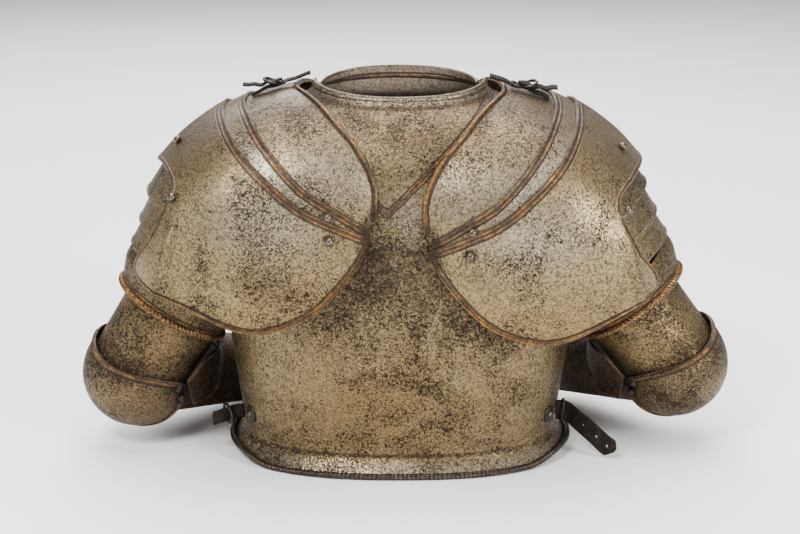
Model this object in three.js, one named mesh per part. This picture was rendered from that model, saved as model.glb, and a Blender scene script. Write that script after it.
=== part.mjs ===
// A cuirass with its arm defences: backplate, breastplate, two pauldrons, and two arms with
// hinged elbow caps. Millimetres, +Z up. The front faces -Y, the wearer's left side is +X, and
// the origin is on the surface it stands on, under the middle of its bounds.
import * as THREE from 'three';
import { mergeVertices } from 'three/addons/utils/BufferGeometryUtils.js';

// ---------------------------------------------------------------- driving dimensions
const WALL = 1.8;                 // steel plate
const LEATHER = 2.6;              // strap leather
const GAP = 0.5;                  // air left between pieces that touch
const BEAD = 2.6;                 // how far a rolled rim stands out of its plate

const TORSO_POWER = 2.4;          // squareness of the body's level sections
const TORSO = [                   // level sections of the body, from the flange to the shoulders
  { z: 0, half: 168, back: 123, front: 128 },
  { z: 9, half: 162, back: 116, front: 122 },
  { z: 19, half: 156, back: 109, front: 118 },
  { z: 32, half: 157, back: 110, front: 122 },
  { z: 100, half: 167, back: 122, front: 144 },
  { z: 180, half: 174, back: 130, front: 142 },
  { z: 240, half: 176, back: 130, front: 132 },
  { z: 300, half: 167, back: 124, front: 116 },
  { z: 330, half: 151, back: 111, front: 104 },
  { z: 345, half: 134, back: 97, front: 92 },
];
const SHOULDER_Z = 345;           // above this the plates bend in towards the neck
const NECK_CLIMB = 40;            // rows above SHOULDER_Z, counted as if the wall went on upwards
const SHOULDER = { z: 353, half: 112, back: 88, front: 83 };
const COLLAR_FOOT = { z: 355, half: 87, back: 81, front: 76 };
const HIP_RISE = 10;              // how far the flange's lower edge rises at the sides
const COLLAR = {
  back: { half: 83, depth: 75, side: 371, middle: 364 },
  front: { half: 76, depth: 69, side: 367, middle: 373 },
};
const KEEL = 10;                  // the breastplate's medial ridge
const SIDE_GAP = 0.35;            // degrees from the side seam to either plate's edge
const ARMHOLE = { z: 270, half_height: 72, depth: 36 };

const PAULDRON = { x: 130, y: 5, z: 230, back: 141, front: 138, power: 2.7 };
const PAULDRON_RADIUS = [         // its silhouette about that centre, seen from behind
  { angle: -180, radius: 200 }, { angle: -135, radius: 185 }, { angle: -90, radius: 156 },
  { angle: -45, radius: 149 }, { angle: 0, radius: 133 }, { angle: 35, radius: 118 },
  { angle: 65, radius: 117 }, { angle: 90, radius: 128 }, { angle: 120, radius: 156 },
  { angle: 150, radius: 194 }, { angle: 180, radius: 200 },
];
const LAYER = 3.2;                // how far each pauldron plate stands over the one below
// The edges of the pauldron's plates, as points towards which they run, from the lowest point
// behind, over the shoulder, to the lowest point in front.
const INNER_EDGE = [
  { x: 22, y: 134, z: 262 }, { x: 20, y: 131, z: 288 }, { x: 35, y: 120, z: 323 },
  { x: 62, y: 96, z: 352 }, { x: 97, y: 18, z: 367 }, { x: 92, y: -50, z: 362 },
  { x: 72, y: -95, z: 338 }, { x: 58, y: -122, z: 305 }, { x: 52, y: -134, z: 262 },
];
const FIRST_LINE = [
  { x: 29, y: 139, z: 252 }, { x: 56, y: 141, z: 268 }, { x: 92, y: 140, z: 292 },
  { x: 128, y: 116, z: 332 }, { x: 152, y: 22, z: 362 }, { x: 146, y: -70, z: 350 },
  { x: 124, y: -112, z: 320 }, { x: 92, y: -132, z: 282 }, { x: 57, y: -138, z: 250 },
];
const SECOND_LINE = [
  { x: 29, y: 138, z: 243 }, { x: 60, y: 142, z: 256 }, { x: 100, y: 143, z: 277 },
  { x: 148, y: 124, z: 323 }, { x: 174, y: 21, z: 354 }, { x: 170, y: -75, z: 340 },
  { x: 146, y: -118, z: 300 }, { x: 100, y: -134, z: 264 }, { x: 60, y: -138, z: 240 },
];
const LOWER_EDGE = [
  { x: 31, y: 140, z: 235 }, { x: 51, y: 141, z: 206 }, { x: 90, y: 141, z: 169 },
  { x: 141, y: 138, z: 154 }, { x: 202, y: 133, z: 177 }, { x: 253, y: 97, z: 203 },
  { x: 232, y: 119, z: 243 }, { x: 210, y: 120, z: 284 }, { x: 222, y: 80, z: 306 },
  { x: 239, y: -5, z: 297 }, { x: 234, y: -70, z: 276 }, { x: 222, y: -108, z: 244 },
  { x: 186, y: -130, z: 206 }, { x: 130, y: -136, z: 194 }, { x: 84, y: -137, z: 208 },
  { x: 61, y: -138, z: 230 },
];
// Which share of the second line each share of the lower edge is drawn from, so that the wing's
// tip and the notch above it are both reached from behind.
const WING_SHARES = [
  { lower: 0, upper: 0 }, { lower: 0.333, upper: 0.25 }, { lower: 0.467, upper: 0.36 },
  { lower: 0.6, upper: 0.5 }, { lower: 1, upper: 1 },
];

const SHOULDER_PIVOT = { x: 163, y: 0, z: 247 };
const ELBOW = { x: 267, y: 0, z: 72 };
const ARM_SPREAD = 31.3;          // degrees from the upper arm to the vertical
const FOREARM_YAW = 50;           // degrees the forearm swings to the front
const FOREARM_DROP = 11;          // degrees it falls towards the wrist
// The two sides hang a little differently: degrees the arm is spread further, how far it has
// moved in, degrees the pauldron is tipped back, and how far it has dropped.
const ARMS = [
  { name: 'left', mirror: 1, spread: 0, inward: 0, pitch: 0, drop: 0 },
  { name: 'right', mirror: -1, spread: 5.2, inward: 5, pitch: 5, drop: 1 },
];
// Arm plates, each a ring section about the upper arm: height above the elbow, outward radius,
// radius to the back and front, and how far the section's centre is shifted outwards.
const ARM_PLATES = [
  { name: 'arm_lame_1', spread: 96, rows: [
    { up: 218, out: 84, wide: 104, shift: 0 }, { up: 172, out: 85, wide: 99, shift: 0 }] },
  { name: 'arm_lame_2', spread: 100, rows: [
    { up: 184, out: 80, wide: 92, shift: 0 }, { up: 143, out: 77, wide: 88, shift: 0 }] },
  { name: 'arm_lame_3', spread: 106, rows: [
    { up: 156, out: 73.5, wide: 82, shift: 0 }, { up: 118, out: 72, wide: 78, shift: 0 }] },
];
const TURNER = [
  { up: 118, out: 65.5, wide: 70, shift: 4 }, { up: 104, out: 65, wide: 69, shift: 4.5 },
  { up: 88, out: 59.5, wide: 64, shift: 4 }, { up: 77, out: 57, wide: 61, shift: 3.5 },
];
const TURNER_INSIDE_TOP = 93;     // the ring's top edge dips towards the body
const UPPER_CANNON = { top: 98, bottom: 3, crook: 84, top_radius: 51, bottom_radius: 49.5 };
const LOWER_CANNON = { top: 3, crook: 84, end: 188, top_radius: 45, end_radius: 34 };
const COUTER = { rim_up: 22, rim_dip: 15, rim_radius: 55.5, low_radius: 54.5, bulge: 53.5, sweep: 97 };
// The wing that bridges the inside of the elbow: reach along the hinge and into the bend, the
// squareness of that path, and half widths where it starts, at its broadest and over the bend.
const WING = { along: 62, deep: 88, power: 3, start: 19, broad: 28, bridge: 9, sweep: 82 };
const RIVET = { radius: 3.7, rise: 2.6 };
const WASHER = { radius: 9, rise: 2.4 };
// Rivets of a pauldron: the direction each lies in from the pauldron's centre.
const PAULDRON_RIVETS = [
  { name: 'rivet_middle', x: -60, y: 137, z: 33, layer: 2 },
  { name: 'rivet_back', x: -60, y: 137, z: 12, layer: 3 },
  { name: 'rivet_wing', x: 84, y: 118, z: 49, layer: 3 },
  { name: 'rivet_top', x: 86, y: 46, z: 92, layer: 3 },
];
const PIVOT_SEAT = 2.5;           // an elbow rivet stands on a washer's thickness
const LAME_RIVET_ANGLE = 66;      // degrees round the arm from straight outwards
const PIVOT_ANGLE = 89;           // the same on the elbow cap
const PIVOT_SHARES = { upper: 0.2, lower: 0.8 };

// Leather: the strap that crosses each shoulder, and the free straps as they hang.
const SHOULDER_STRAP = { reach: 28, low: 348, high: 360 };
const SIDE_RIVET = { angle: 21, z: 43 };
const SIDE_STRAP = [              // from the backplate's side to its pointed tip
  { x: -156, y: 35, z: 43 }, { x: -164, y: 33, z: 42 }, { x: -176, y: 41, z: 35 },
  { x: -190, y: 52, z: 25 }, { x: -204, y: 60, z: 14 }, { x: -213, y: 64, z: 9 },
];
const SIDE_STRAP_HALF = 8.5;
const SIDE_STUB = [               // the buckle's own strap on the left
  { x: 156, y: 35, z: 42 }, { x: 163, y: 33, z: 41 }, { x: 173, y: 37, z: 39 },
  { x: 186, y: 43, z: 36 },
];
const SIDE_STUB_HALF = 7;
const SIDE_BUCKLE = { share: 0.6, radius: 10.5, wire: 1.5 };
const TOP_STRAP_HALF = 4.6;       // measured 100 mm from the pauldron's centre
const TOP_STRAP = [               // along the top of the pauldron: angle, height over the plate
  { angle: 83, height: 1 }, { angle: 88, height: 2.4 }, { angle: 93, height: 3.6 },
  { angle: 98, height: 4.4 }, { angle: 106, height: 10 },
];
const TOP_STRAP_END = [
  { angle: 80, height: 14 }, { angle: 87, height: 8.2 }, { angle: 96, height: 7.6 },
];
const TOP_BUCKLE = { angle: 92, height: 8.2, radius: 11, wire: 1, squash: 0.69 };

// ---------------------------------------------------------------- shared geometry helpers
const degrees = THREE.MathUtils.degToRad;
const mix = THREE.MathUtils.lerp;
const vector = (x, y, z) => new THREE.Vector3(x, y, z);

// A smooth curve through one column of a table, read at a place in another column.
function smoothColumn(table, place, column, at) {
  const last = table.length - 1;
  const slope = (i) => {
    const a = table[Math.max(i - 1, 0)];
    const b = table[Math.min(i + 1, last)];
    return (b[column] - a[column]) / (b[place] - a[place]);
  };
  let i = 0;
  while (i < last - 1 && at > table[i + 1][place]) i += 1;
  const step = table[i + 1][place] - table[i][place];
  const t = THREE.MathUtils.clamp((at - table[i][place]) / step, 0, 1);
  const a = table[i][column];
  const b = table[i + 1][column];
  const bend = (1 - t) * slope(i) * step - t * slope(i + 1) * step - (1 - 2 * t) * (b - a);
  return mix(a, b, t) + t * (1 - t) * bend;
}

// A closed sheet of metal or leather whose outer face is point(u, v). Rows are { v, lift, wall },
// and a level row is offset sideways only, for a rim that stands flat. Columns are u values. A
// sheet that wraps is a full ring, whose last column is left out.
function sheet(point, columns, rows, centre, wraps = false) {
  const step = 1e-3;
  const outer = [];
  const inner = [];
  const across = (u, v) => {
    const du = point(u + step, v).sub(point(u - step, v));
    const dv = point(u, v + step).sub(point(u, v - step));
    return du.cross(dv).normalize();
  };
  const middle = rows[Math.floor(rows.length / 2)].v;
  const probe = columns[Math.floor(columns.length / 2)];
  const outward = point(probe, middle).sub(centre).dot(across(probe, middle)) > 0 ? 1 : -1;
  for (const { v, lift = 0, wall = WALL, level = false } of rows) {
    for (const u of columns) {
      const normal = across(u, v).multiplyScalar(outward);
      if (level) normal.setZ(0).normalize();
      outer.push(point(u, v).addScaledVector(normal, lift));
      inner.push(point(u, v).addScaledVector(normal, -wall));
    }
  }
  const wide = columns.length;
  const high = rows.length;
  const faces = [];
  const quad = (a, b, c, d) => faces.push([a, b, c], [a, c, d]);
  const under = wide * high;
  const spans = wraps ? wide : wide - 1;
  for (let j = 0; j < high - 1; j += 1) {
    for (let i = 0; i < spans; i += 1) {
      const a = j * wide + i;
      const b = j * wide + (i + 1) % wide;
      quad(a, b, b + wide, a + wide);
      quad(under + a, under + a + wide, under + b + wide, under + b);
    }
  }
  for (let i = 0; i < spans; i += 1) {
    const next = (i + 1) % wide;
    const top = (high - 1) * wide;
    quad(i, under + i, under + next, next);
    quad(top + i, top + next, under + top + next, under + top + i);
  }
  for (let j = 0; j < high - 1 && !wraps; j += 1) {
    const a = j * wide;
    const b = a + wide - 1;
    quad(a, a + wide, under + a + wide, under + a);
    quad(b, under + b, under + b + wide, b + wide);
  }
  return solidFrom([...outer, ...inner], faces);
}

// A closed mesh from corners and triangles, turned so that its faces point out.
function solidFrom(corners, faces) {
  let volume = 0;
  for (const [a, b, c] of faces) {
    volume += corners[a].dot(corners[b].clone().cross(corners[c]));
  }
  const index = faces.flatMap(([a, b, c]) => (volume > 0 ? [a, b, c] : [a, c, b]));
  const geometry = new THREE.BufferGeometry();
  const positions = corners.flatMap((corner) => corner.toArray());
  geometry.setAttribute('position', new THREE.Float32BufferAttribute(positions, 3));
  geometry.setIndex(index);
  return geometry;
}

const evenly = (count, from = 0, to = 1) => (
  Array.from({ length: count + 1 }, (_, i) => mix(from, to, i / count)));

// Sheet rows over v from 0 to 1, with a rolled bead at either end. Widths are shares of v.
function rowsWithBeads(count, startWidth, endWidth, bead = BEAD) {
  const rows = [];
  if (startWidth) {
    rows.push({ v: 0, lift: bead * 0.6 }, { v: startWidth * 0.5, lift: bead });
    rows.push({ v: startWidth * 1.25 });
  }
  const from = startWidth ? startWidth * 1.25 : 0;
  const to = endWidth ? 1 - endWidth * 1.25 : 1;
  const inner = evenly(count, from, to).map((v) => ({ v }));
  rows.push(...(startWidth ? inner.slice(1) : inner));
  if (endWidth) {
    rows.push({ v: 1 - endWidth * 0.5, lift: bead }, { v: 1, lift: bead * 0.6 });
  }
  return rows;
}

const object = new THREE.Group();

const STEEL = { color: 0x8f8468, roughness: 0.42, metalness: 0.9 };
const DARK_STEEL = { color: 0x4b4436, roughness: 0.5, metalness: 0.85 };
const LEATHER_LOOK = { color: 0x2c241d, roughness: 0.75, metalness: 0 };

function addPiece(name, geometry, look, parent = object) {
  const piece = new THREE.Mesh(geometry, new THREE.MeshStandardMaterial(look));
  piece.name = name;
  parent.add(piece);
  return piece;
}

// ---------------------------------------------------------------- backplate and breastplate
const roundedTurn = (angle, power) => ({
  across: Math.sign(Math.cos(angle)) * Math.abs(Math.cos(angle)) ** (2 / power),
  deep: Math.abs(Math.sin(angle)) ** (2 / power),
});

function torsoSection(side, angle, half, depth, z) {
  const turn = roundedTurn(angle, TORSO_POWER);
  const away = side === 'back' ? 1 : -1;
  return vector(half * turn.across, away * depth * turn.deep, z);
}

// A point of the body's outer face. The climb is a height up to SHOULDER_Z, and runs on past it
// through the bend of the shoulder to the standing edge of the neck opening.
function torsoPoint(side, angle, climb) {
  const low = Math.min(climb, SHOULDER_Z);
  const hip = HIP_RISE * THREE.MathUtils.smoothstep(Math.abs(Math.cos(angle)), 0.7, 1)
    * (1 - THREE.MathUtils.smoothstep(low, 0, 60));
  const half = smoothColumn(TORSO, 'z', 'half', low);
  const depth = smoothColumn(TORSO, 'z', side, low);
  const start = torsoSection(side, angle, half, depth, low + hip);
  if (side === 'front') {
    const ridge = Math.max(0, 1 - Math.abs(start.x) / 60) ** 1.5;
    start.y -= KEEL * ridge * THREE.MathUtils.smoothstep(low, 20, 120)
      * (1 - THREE.MathUtils.smoothstep(low, 200, 330));
  }
  if (climb <= SHOULDER_Z) return start;
  const t = (climb - SHOULDER_Z) / NECK_CLIMB;
  const edge = COLLAR[side];
  const rise = mix(edge.side, edge.middle, Math.sin(angle) ** 2);
  const bend = torsoSection(side, angle, SHOULDER.half, SHOULDER[side], SHOULDER.z);
  const foot = torsoSection(side, angle, COLLAR_FOOT.half, COLLAR_FOOT[side], COLLAR_FOOT.z);
  const rim = torsoSection(side, angle, edge.half, edge.depth, rise);
  return start.multiplyScalar((1 - t) ** 3).addScaledVector(bend, 3 * t * (1 - t) ** 2)
    .addScaledVector(foot, 3 * t * t * (1 - t)).addScaledVector(rim, t ** 3);
}

// Degrees from the side seam to a plate's edge: a plain side, and the scoop of the armhole.
function seamAngle(climb) {
  const place = (climb - ARMHOLE.z) / ARMHOLE.half_height;
  const scoop = Math.abs(place) < 1 ? ARMHOLE.depth * Math.cos(place * Math.PI / 2) : 0;
  return SIDE_GAP + scoop;
}

function torsoPlate(side) {
  const point = (u, climb) => {
    const edge = seamAngle(climb);
    return torsoPoint(side, degrees(mix(edge, 180 - edge, u)), climb);
  };
  const top = SHOULDER_Z + NECK_CLIMB;
  const rows = [
    { v: 0, lift: 2.4, level: true }, { v: 4, lift: 3.2 }, { v: 8, lift: 0.8 }, { v: 18 }, { v: 26 },
    { v: 70 }, { v: 130 }, { v: 190 }, { v: 215 }, { v: 240 }, { v: 265 }, { v: 290 },
    { v: 315 }, { v: 336 }, { v: 354 }, { v: 368 }, { v: top - 6 },
    { v: top - 4, lift: 2.4 }, { v: top, lift: 2 },
  ];
  const columns = evenly(16).map((u) => u - 0.03 * Math.sin(2 * Math.PI * u));
  return sheet(point, columns, rows, vector(0, 0, 170));
}

addPiece('backplate', torsoPlate('back'), STEEL);
addPiece('breastplate', torsoPlate('front'), STEEL);

// ---------------------------------------------------------------- pauldrons
// The pauldron's surface is a rounded shell about its centre, met along a given direction.
function onPauldron(direction, layer = 0) {
  const { x, y, z } = direction;
  const angle = THREE.MathUtils.radToDeg(Math.atan2(z, x));
  const radius = smoothColumn(PAULDRON_RADIUS, 'angle', 'radius', angle);
  const depth = y > 0 ? PAULDRON.back : PAULDRON.front;
  const reach = ((Math.hypot(x, z) / radius) ** PAULDRON.power
    + (Math.abs(y) / depth) ** PAULDRON.power) ** (-1 / PAULDRON.power);
  const centre = vector(PAULDRON.x, PAULDRON.y, PAULDRON.z);
  return centre.addScaledVector(direction, reach + layer / direction.length());
}

const pauldronCurve = (table) => new THREE.CatmullRomCurve3(table.map((row) => vector(
  row.x - PAULDRON.x, row.y - PAULDRON.y, row.z - PAULDRON.z)));

// One plate of the pauldron between two of its edges. The layer counts the plates under it.
function pauldronPlate(upper, lower, columns, rows, layer, share = (u) => u) {
  const top = pauldronCurve(upper);
  const bottom = pauldronCurve(lower);
  const point = (u, v) => {
    const at = THREE.MathUtils.clamp(u, 0, 1);
    const from = top.getPoint(share(at));
    const to = bottom.getPoint(at);
    return onPauldron(from.lerp(to, THREE.MathUtils.clamp(v, 0, 1)), layer * LAYER);
  };
  const centre = vector(PAULDRON.x, PAULDRON.y, PAULDRON.z - 60);
  return sheet(point, evenly(columns), rows, centre);
}

// A line that runs between two edges, or past the second, to carry a plate under the next.
const between = (first, second, share) => first.map((row, i) => ({
  x: mix(row.x, second[i].x, share),
  y: mix(row.y, second[i].y, share),
  z: mix(row.z, second[i].z, share),
}));

const wingShare = (u) => smoothColumn(WING_SHARES, 'lower', 'upper', u);

function addPauldron(group, side) {
  addPiece(`pauldron_neck_plate_${side}`,
    pauldronPlate(INNER_EDGE, between(FIRST_LINE, SECOND_LINE, 0.5), 18,
      rowsWithBeads(3, 0.08, 0), 0), STEEL, group);
  addPiece(`pauldron_middle_lame_${side}`,
    pauldronPlate(FIRST_LINE, between(FIRST_LINE, SECOND_LINE, 1.5), 18,
      rowsWithBeads(2, 0, 0), 1), STEEL, group);
  addPiece(`pauldron_main_plate_${side}`,
    pauldronPlate(SECOND_LINE, LOWER_EDGE, 26, rowsWithBeads(5, 0, 0.04), 2, wingShare),
    STEEL, group);
}

// A group whose child frame is turned about a point of the left side, mirrored for the right.
function hungGroup(arm, about, turn) {
  const inside = new THREE.Group();
  inside.position.set(-about.x, -about.y, -about.z);
  const turned = new THREE.Group();
  turned.rotation.set(turn.x ?? 0, turn.y ?? 0, 0);
  turned.position.set(about.x, about.y, about.z - (turn.drop ?? 0));
  turned.add(inside);
  const mirrored = new THREE.Group();
  mirrored.scale.x = arm.mirror;
  mirrored.add(turned);
  object.add(mirrored);
  return inside;
}

// ---------------------------------------------------------------- arms
// Directions at the elbow of a left arm: along the upper arm, along the forearm, the hinge
// between them, and the two square to hinge and arm that point to the outside of the bend.
function elbowFrame(arm) {
  const spread = degrees(ARM_SPREAD + arm.spread);
  const yaw = degrees(FOREARM_YAW);
  const drop = degrees(FOREARM_DROP);
  const up = vector(-Math.sin(spread), 0, Math.cos(spread));
  const fore = vector(-Math.cos(yaw) * Math.cos(drop), -Math.sin(yaw) * Math.cos(drop),
    -Math.sin(drop));
  const hinge = fore.clone().cross(up).normalize();
  const upOut = hinge.clone().cross(up);
  const foreOut = fore.clone().cross(hinge);
  const crook = up.clone().add(fore).normalize();
  return { up, fore, hinge, upOut, foreOut, crook };
}

// The elbow of an arm, swung about the shoulder from where a plain left arm has it.
function elbowPlace(arm) {
  const reach = Math.hypot(ELBOW.x - SHOULDER_PIVOT.x, ELBOW.z - SHOULDER_PIVOT.z);
  const rest = Math.atan2(ELBOW.x - SHOULDER_PIVOT.x, SHOULDER_PIVOT.z - ELBOW.z);
  const swing = rest + degrees(arm.spread);
  return vector(SHOULDER_PIVOT.x - arm.inward + reach * Math.sin(swing), 0,
    SHOULDER_PIVOT.z - reach * Math.cos(swing));
}

// A point of a ring section about the upper arm. Angle 0 is straight outwards.
function aboutArm(arm, rows, angle, v) {
  const { up } = elbowFrame(arm);
  const out = vector(up.z, 0, -up.x);
  const value = (column) => smoothColumn(rows, 'up', column, v);
  return elbowPlace(arm)
    .addScaledVector(up, v)
    .addScaledVector(out, value('shift') + value('out') * Math.cos(angle))
    .add(vector(0, value('wide') * Math.sin(angle), 0));
}

const heightOrder = (rows) => [...rows].sort((a, b) => a.up - b.up);

const shoulderOf = () => vector(SHOULDER_PIVOT.x, SHOULDER_PIVOT.y, SHOULDER_PIVOT.z);

function armLame(arm, plate) {
  const rows = heightOrder(plate.rows);
  const point = (u, v) => aboutArm(arm, rows, degrees(mix(-plate.spread, plate.spread, u)), v);
  const levels = evenly(2, rows[0].up, rows[1].up).map((v) => ({ v }));
  return sheet(point, evenly(16), levels, elbowPlace(arm).lerp(shoulderOf(), 0.7));
}

function turnerRing(arm) {
  const rows = heightOrder(TURNER);
  const low = rows[0].up;
  const high = rows[rows.length - 1].up;
  const point = (u, v) => {
    const angle = u * 2 * Math.PI;
    const top = mix(TURNER_INSIDE_TOP, high, (1 + Math.cos(angle)) / 2);
    return aboutArm(arm, rows, angle, mix(low, top, v));
  };
  const levels = [
    { v: 0, lift: 1.6 }, { v: 0.08, lift: BEAD }, { v: 0.18 }, { v: 0.4 }, { v: 0.7 }, { v: 1 },
  ];
  return sheet(point, evenly(18).slice(0, -1), levels, elbowPlace(arm).lerp(shoulderOf(), 0.45),
    true);
}

// A tube about one bone of the arm. Its end at the elbow is cut high inside the bend, so that
// the elbow can close.
function cannon(arm, along, outside, size) {
  const { hinge } = elbowFrame(arm);
  const place = elbowPlace(arm);
  const point = (u, v) => {
    const angle = u * 2 * Math.PI;
    const inside = THREE.MathUtils.clamp(-Math.cos(angle) / 0.75, 0, 1);
    const start = mix(size.start, size.crook, inside);
    const reach = mix(start, size.end, v);
    const radius = mix(size.near, size.far, reach / size.end);
    return place.clone().addScaledVector(along, reach)
      .addScaledVector(outside, radius * Math.cos(angle))
      .addScaledVector(hinge, radius * Math.sin(angle));
  };
  const centre = place.clone().addScaledVector(along, size.end * 0.6);
  const levels = size.bead ? rowsWithBeads(1, 0, 0.04, 2) : evenly(1).map((v) => ({ v }));
  return sheet(point, evenly(18).slice(0, -1), levels, centre, true);
}

function upperCannon(arm) {
  const { up, upOut } = elbowFrame(arm);
  const { top, bottom, crook, top_radius, bottom_radius } = UPPER_CANNON;
  return cannon(arm, up, upOut, {
    start: bottom, crook, end: top, near: bottom_radius, far: top_radius, bead: false,
  });
}

function lowerCannon(arm) {
  const { fore, foreOut } = elbowFrame(arm);
  const { top, crook, end, top_radius, end_radius } = LOWER_CANNON;
  return cannon(arm, fore, foreOut, {
    start: top, crook, end, near: top_radius, far: end_radius, bead: true,
  });
}

// The elbow cap: a shell between a rim square to the upper arm and one square to the forearm.
function couterPoint(arm, angle, v) {
  const { up, fore, hinge, upOut, foreOut } = elbowFrame(arm);
  const rim = (along, outside, height, radius) => outside.clone()
    .multiplyScalar(radius * Math.cos(angle))
    .addScaledVector(hinge, radius * Math.sin(angle)).addScaledVector(along, height);
  const height = COUTER.rim_up - COUTER.rim_dip * Math.max(0, Math.cos(angle)) ** 2;
  const high = rim(up, upOut, height, COUTER.rim_radius);
  const low = rim(fore, foreOut, height, COUTER.low_radius);
  const turn = high.angleTo(low);
  const reach = mix(high.length(), low.length(), v);
  const flat = Math.sin(Math.PI * THREE.MathUtils.clamp(v, 0, 1)) ** 0.6;
  const ball = mix(reach, COUTER.bulge, flat);
  const direction = high.normalize().multiplyScalar(Math.sin((1 - v) * turn))
    .addScaledVector(low.normalize(), Math.sin(v * turn)).normalize();
  return elbowPlace(arm).addScaledVector(direction, ball);
}

function couter(arm) {
  const sweep = degrees(COUTER.sweep);
  const point = (u, v) => couterPoint(arm, mix(-sweep, sweep, u), v);
  const levels = [
    { v: 0, lift: 1.6 }, { v: 0.07 }, { v: 0.28 }, { v: 0.5 }, { v: 0.72 }, { v: 0.93 },
    { v: 1, lift: 1.6 },
  ];
  return sheet(point, evenly(14), levels, elbowPlace(arm));
}

// The wing bridges the inside of the bend, from one elbow hinge round to the other.
function couterWing(arm) {
  const { hinge, crook } = elbowFrame(arm);
  const side = crook.clone().cross(hinge);
  const place = elbowPlace(arm);
  const sweep = degrees(WING.sweep);
  const widths = [
    { angle: 0, half: WING.bridge }, { angle: 30, half: WING.bridge + 4 },
    { angle: 66, half: WING.broad }, { angle: WING.sweep + 1, half: WING.start },
  ];
  const point = (u, v) => {
    const angle = mix(-sweep, sweep, u);
    const turn = Math.abs(THREE.MathUtils.radToDeg(angle));
    const deep = Math.cos(angle) ** (2 / WING.power);
    const along = Math.sign(angle) * Math.abs(Math.sin(angle)) ** (2 / WING.power);
    return place.clone().addScaledVector(crook, WING.deep * deep)
      .addScaledVector(hinge, WING.along * along)
      .addScaledVector(side, smoothColumn(widths, 'angle', 'half', turn) * (2 * v - 1));
  };
  return sheet(point, evenly(20), evenly(2).map((v) => ({ v })), place);
}

function addArm(arm) {
  const sideGroup = new THREE.Group();
  sideGroup.scale.x = arm.mirror;
  object.add(sideGroup);
  for (const plate of ARM_PLATES) {
    addPiece(`${plate.name}_${arm.name}`, armLame(arm, plate), STEEL, sideGroup);
  }
  addPiece(`turner_${arm.name}`, turnerRing(arm), STEEL, sideGroup);
  addPiece(`upper_cannon_${arm.name}`, upperCannon(arm), STEEL, sideGroup);
  addPiece(`lower_cannon_${arm.name}`, lowerCannon(arm), DARK_STEEL, sideGroup);
  addPiece(`couter_${arm.name}`, couter(arm), STEEL, sideGroup);
  addPiece(`couter_wing_${arm.name}`, couterWing(arm), DARK_STEEL, sideGroup);
  addArmRivets(arm, sideGroup);
}

// ---------------------------------------------------------------- rivets, straps and buckles
// A domed head that sits on a surface, GAP off it.
function rivetHead(place, normal, size = RIVET, sides = 6, gap = GAP) {
  const profile = [
    new THREE.Vector2(0, 0), new THREE.Vector2(size.radius, 0),
    new THREE.Vector2(size.radius * 0.72, size.rise * 0.72), new THREE.Vector2(0, size.rise),
  ];
  const head = new THREE.LatheGeometry(profile, sides);
  head.deleteAttribute('normal');
  head.deleteAttribute('uv');
  const merged = mergeVertices(head, 1e-3);
  const turn = new THREE.Quaternion().setFromUnitVectors(vector(0, 1, 0), normal);
  merged.applyQuaternion(turn);
  const seat = place.clone().addScaledVector(normal, gap);
  return merged.translate(seat.x, seat.y, seat.z);
}

// The outward normal of point(u, v), away from a centre.
function normalOf(point, u, v, centre) {
  const step = 1e-3;
  const du = point(u + step, v).sub(point(u - step, v));
  const dv = point(u, v + step).sub(point(u, v - step));
  const normal = du.cross(dv).normalize();
  return point(u, v).sub(centre).dot(normal) > 0 ? normal : normal.negate();
}

function addPauldronRivets(group, side) {
  const centre = vector(PAULDRON.x, PAULDRON.y, PAULDRON.z);
  for (const row of PAULDRON_RIVETS) {
    const point = (u, v) => onPauldron(vector(row.x + 100 * u, row.y + 40 * u, row.z + 100 * v),
      row.layer * LAYER);
    const head = rivetHead(point(0, 0), normalOf(point, 0, 0, centre));
    addPiece(`${row.name}_${side}`, head, DARK_STEEL, group);
  }
}

function addArmRivets(arm, group) {
  for (const plate of ARM_PLATES) {
    const rows = heightOrder(plate.rows);
    const point = (u, v) => aboutArm(arm, rows, degrees(LAME_RIVET_ANGLE) + u, v);
    const height = rows[0].up + 9;
    const centre = elbowPlace(arm).addScaledVector(elbowFrame(arm).up, height);
    const head = rivetHead(point(0, height), normalOf(point, 0, height, centre));
    addPiece(`rivet_${plate.name}_${arm.name}`, head, DARK_STEEL, group);
  }
  for (const [end, angle] of [['inner', PIVOT_ANGLE], ['outer', -PIVOT_ANGLE]]) {
    for (const [bone, share] of Object.entries(PIVOT_SHARES)) {
      const point = (u, v) => couterPoint(arm, degrees(angle) + u, v);
      const normal = normalOf(point, 0, share, elbowPlace(arm));
      addPiece(`pivot_${bone}_${end}_${arm.name}`, rivetHead(point(0, share), normal,
        RIVET, 6, PIVOT_SEAT), DARK_STEEL, group);
    }
  }
}

// A short strap over the shoulder seam, lying on both plates.
function shoulderStrap() {
  const reach = degrees(SHOULDER_STRAP.reach);
  const point = (u, v) => {
    const angle = mix(-reach, reach, u);
    const climb = mix(SHOULDER_STRAP.low, SHOULDER_STRAP.high, v);
    const back = torsoPoint('back', Math.abs(angle), climb);
    const front = torsoPoint('front', Math.abs(angle), climb);
    const share = THREE.MathUtils.smoothstep(angle, -0.04, 0.04);
    return front.lerp(back, share);
  };
  const rows = [0, 0.5, 1].map((v) => ({ v, lift: LEATHER + 1.2, wall: -1.2 }));
  return sheet(point, evenly(12), rows, vector(60, 0, 250));
}

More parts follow.
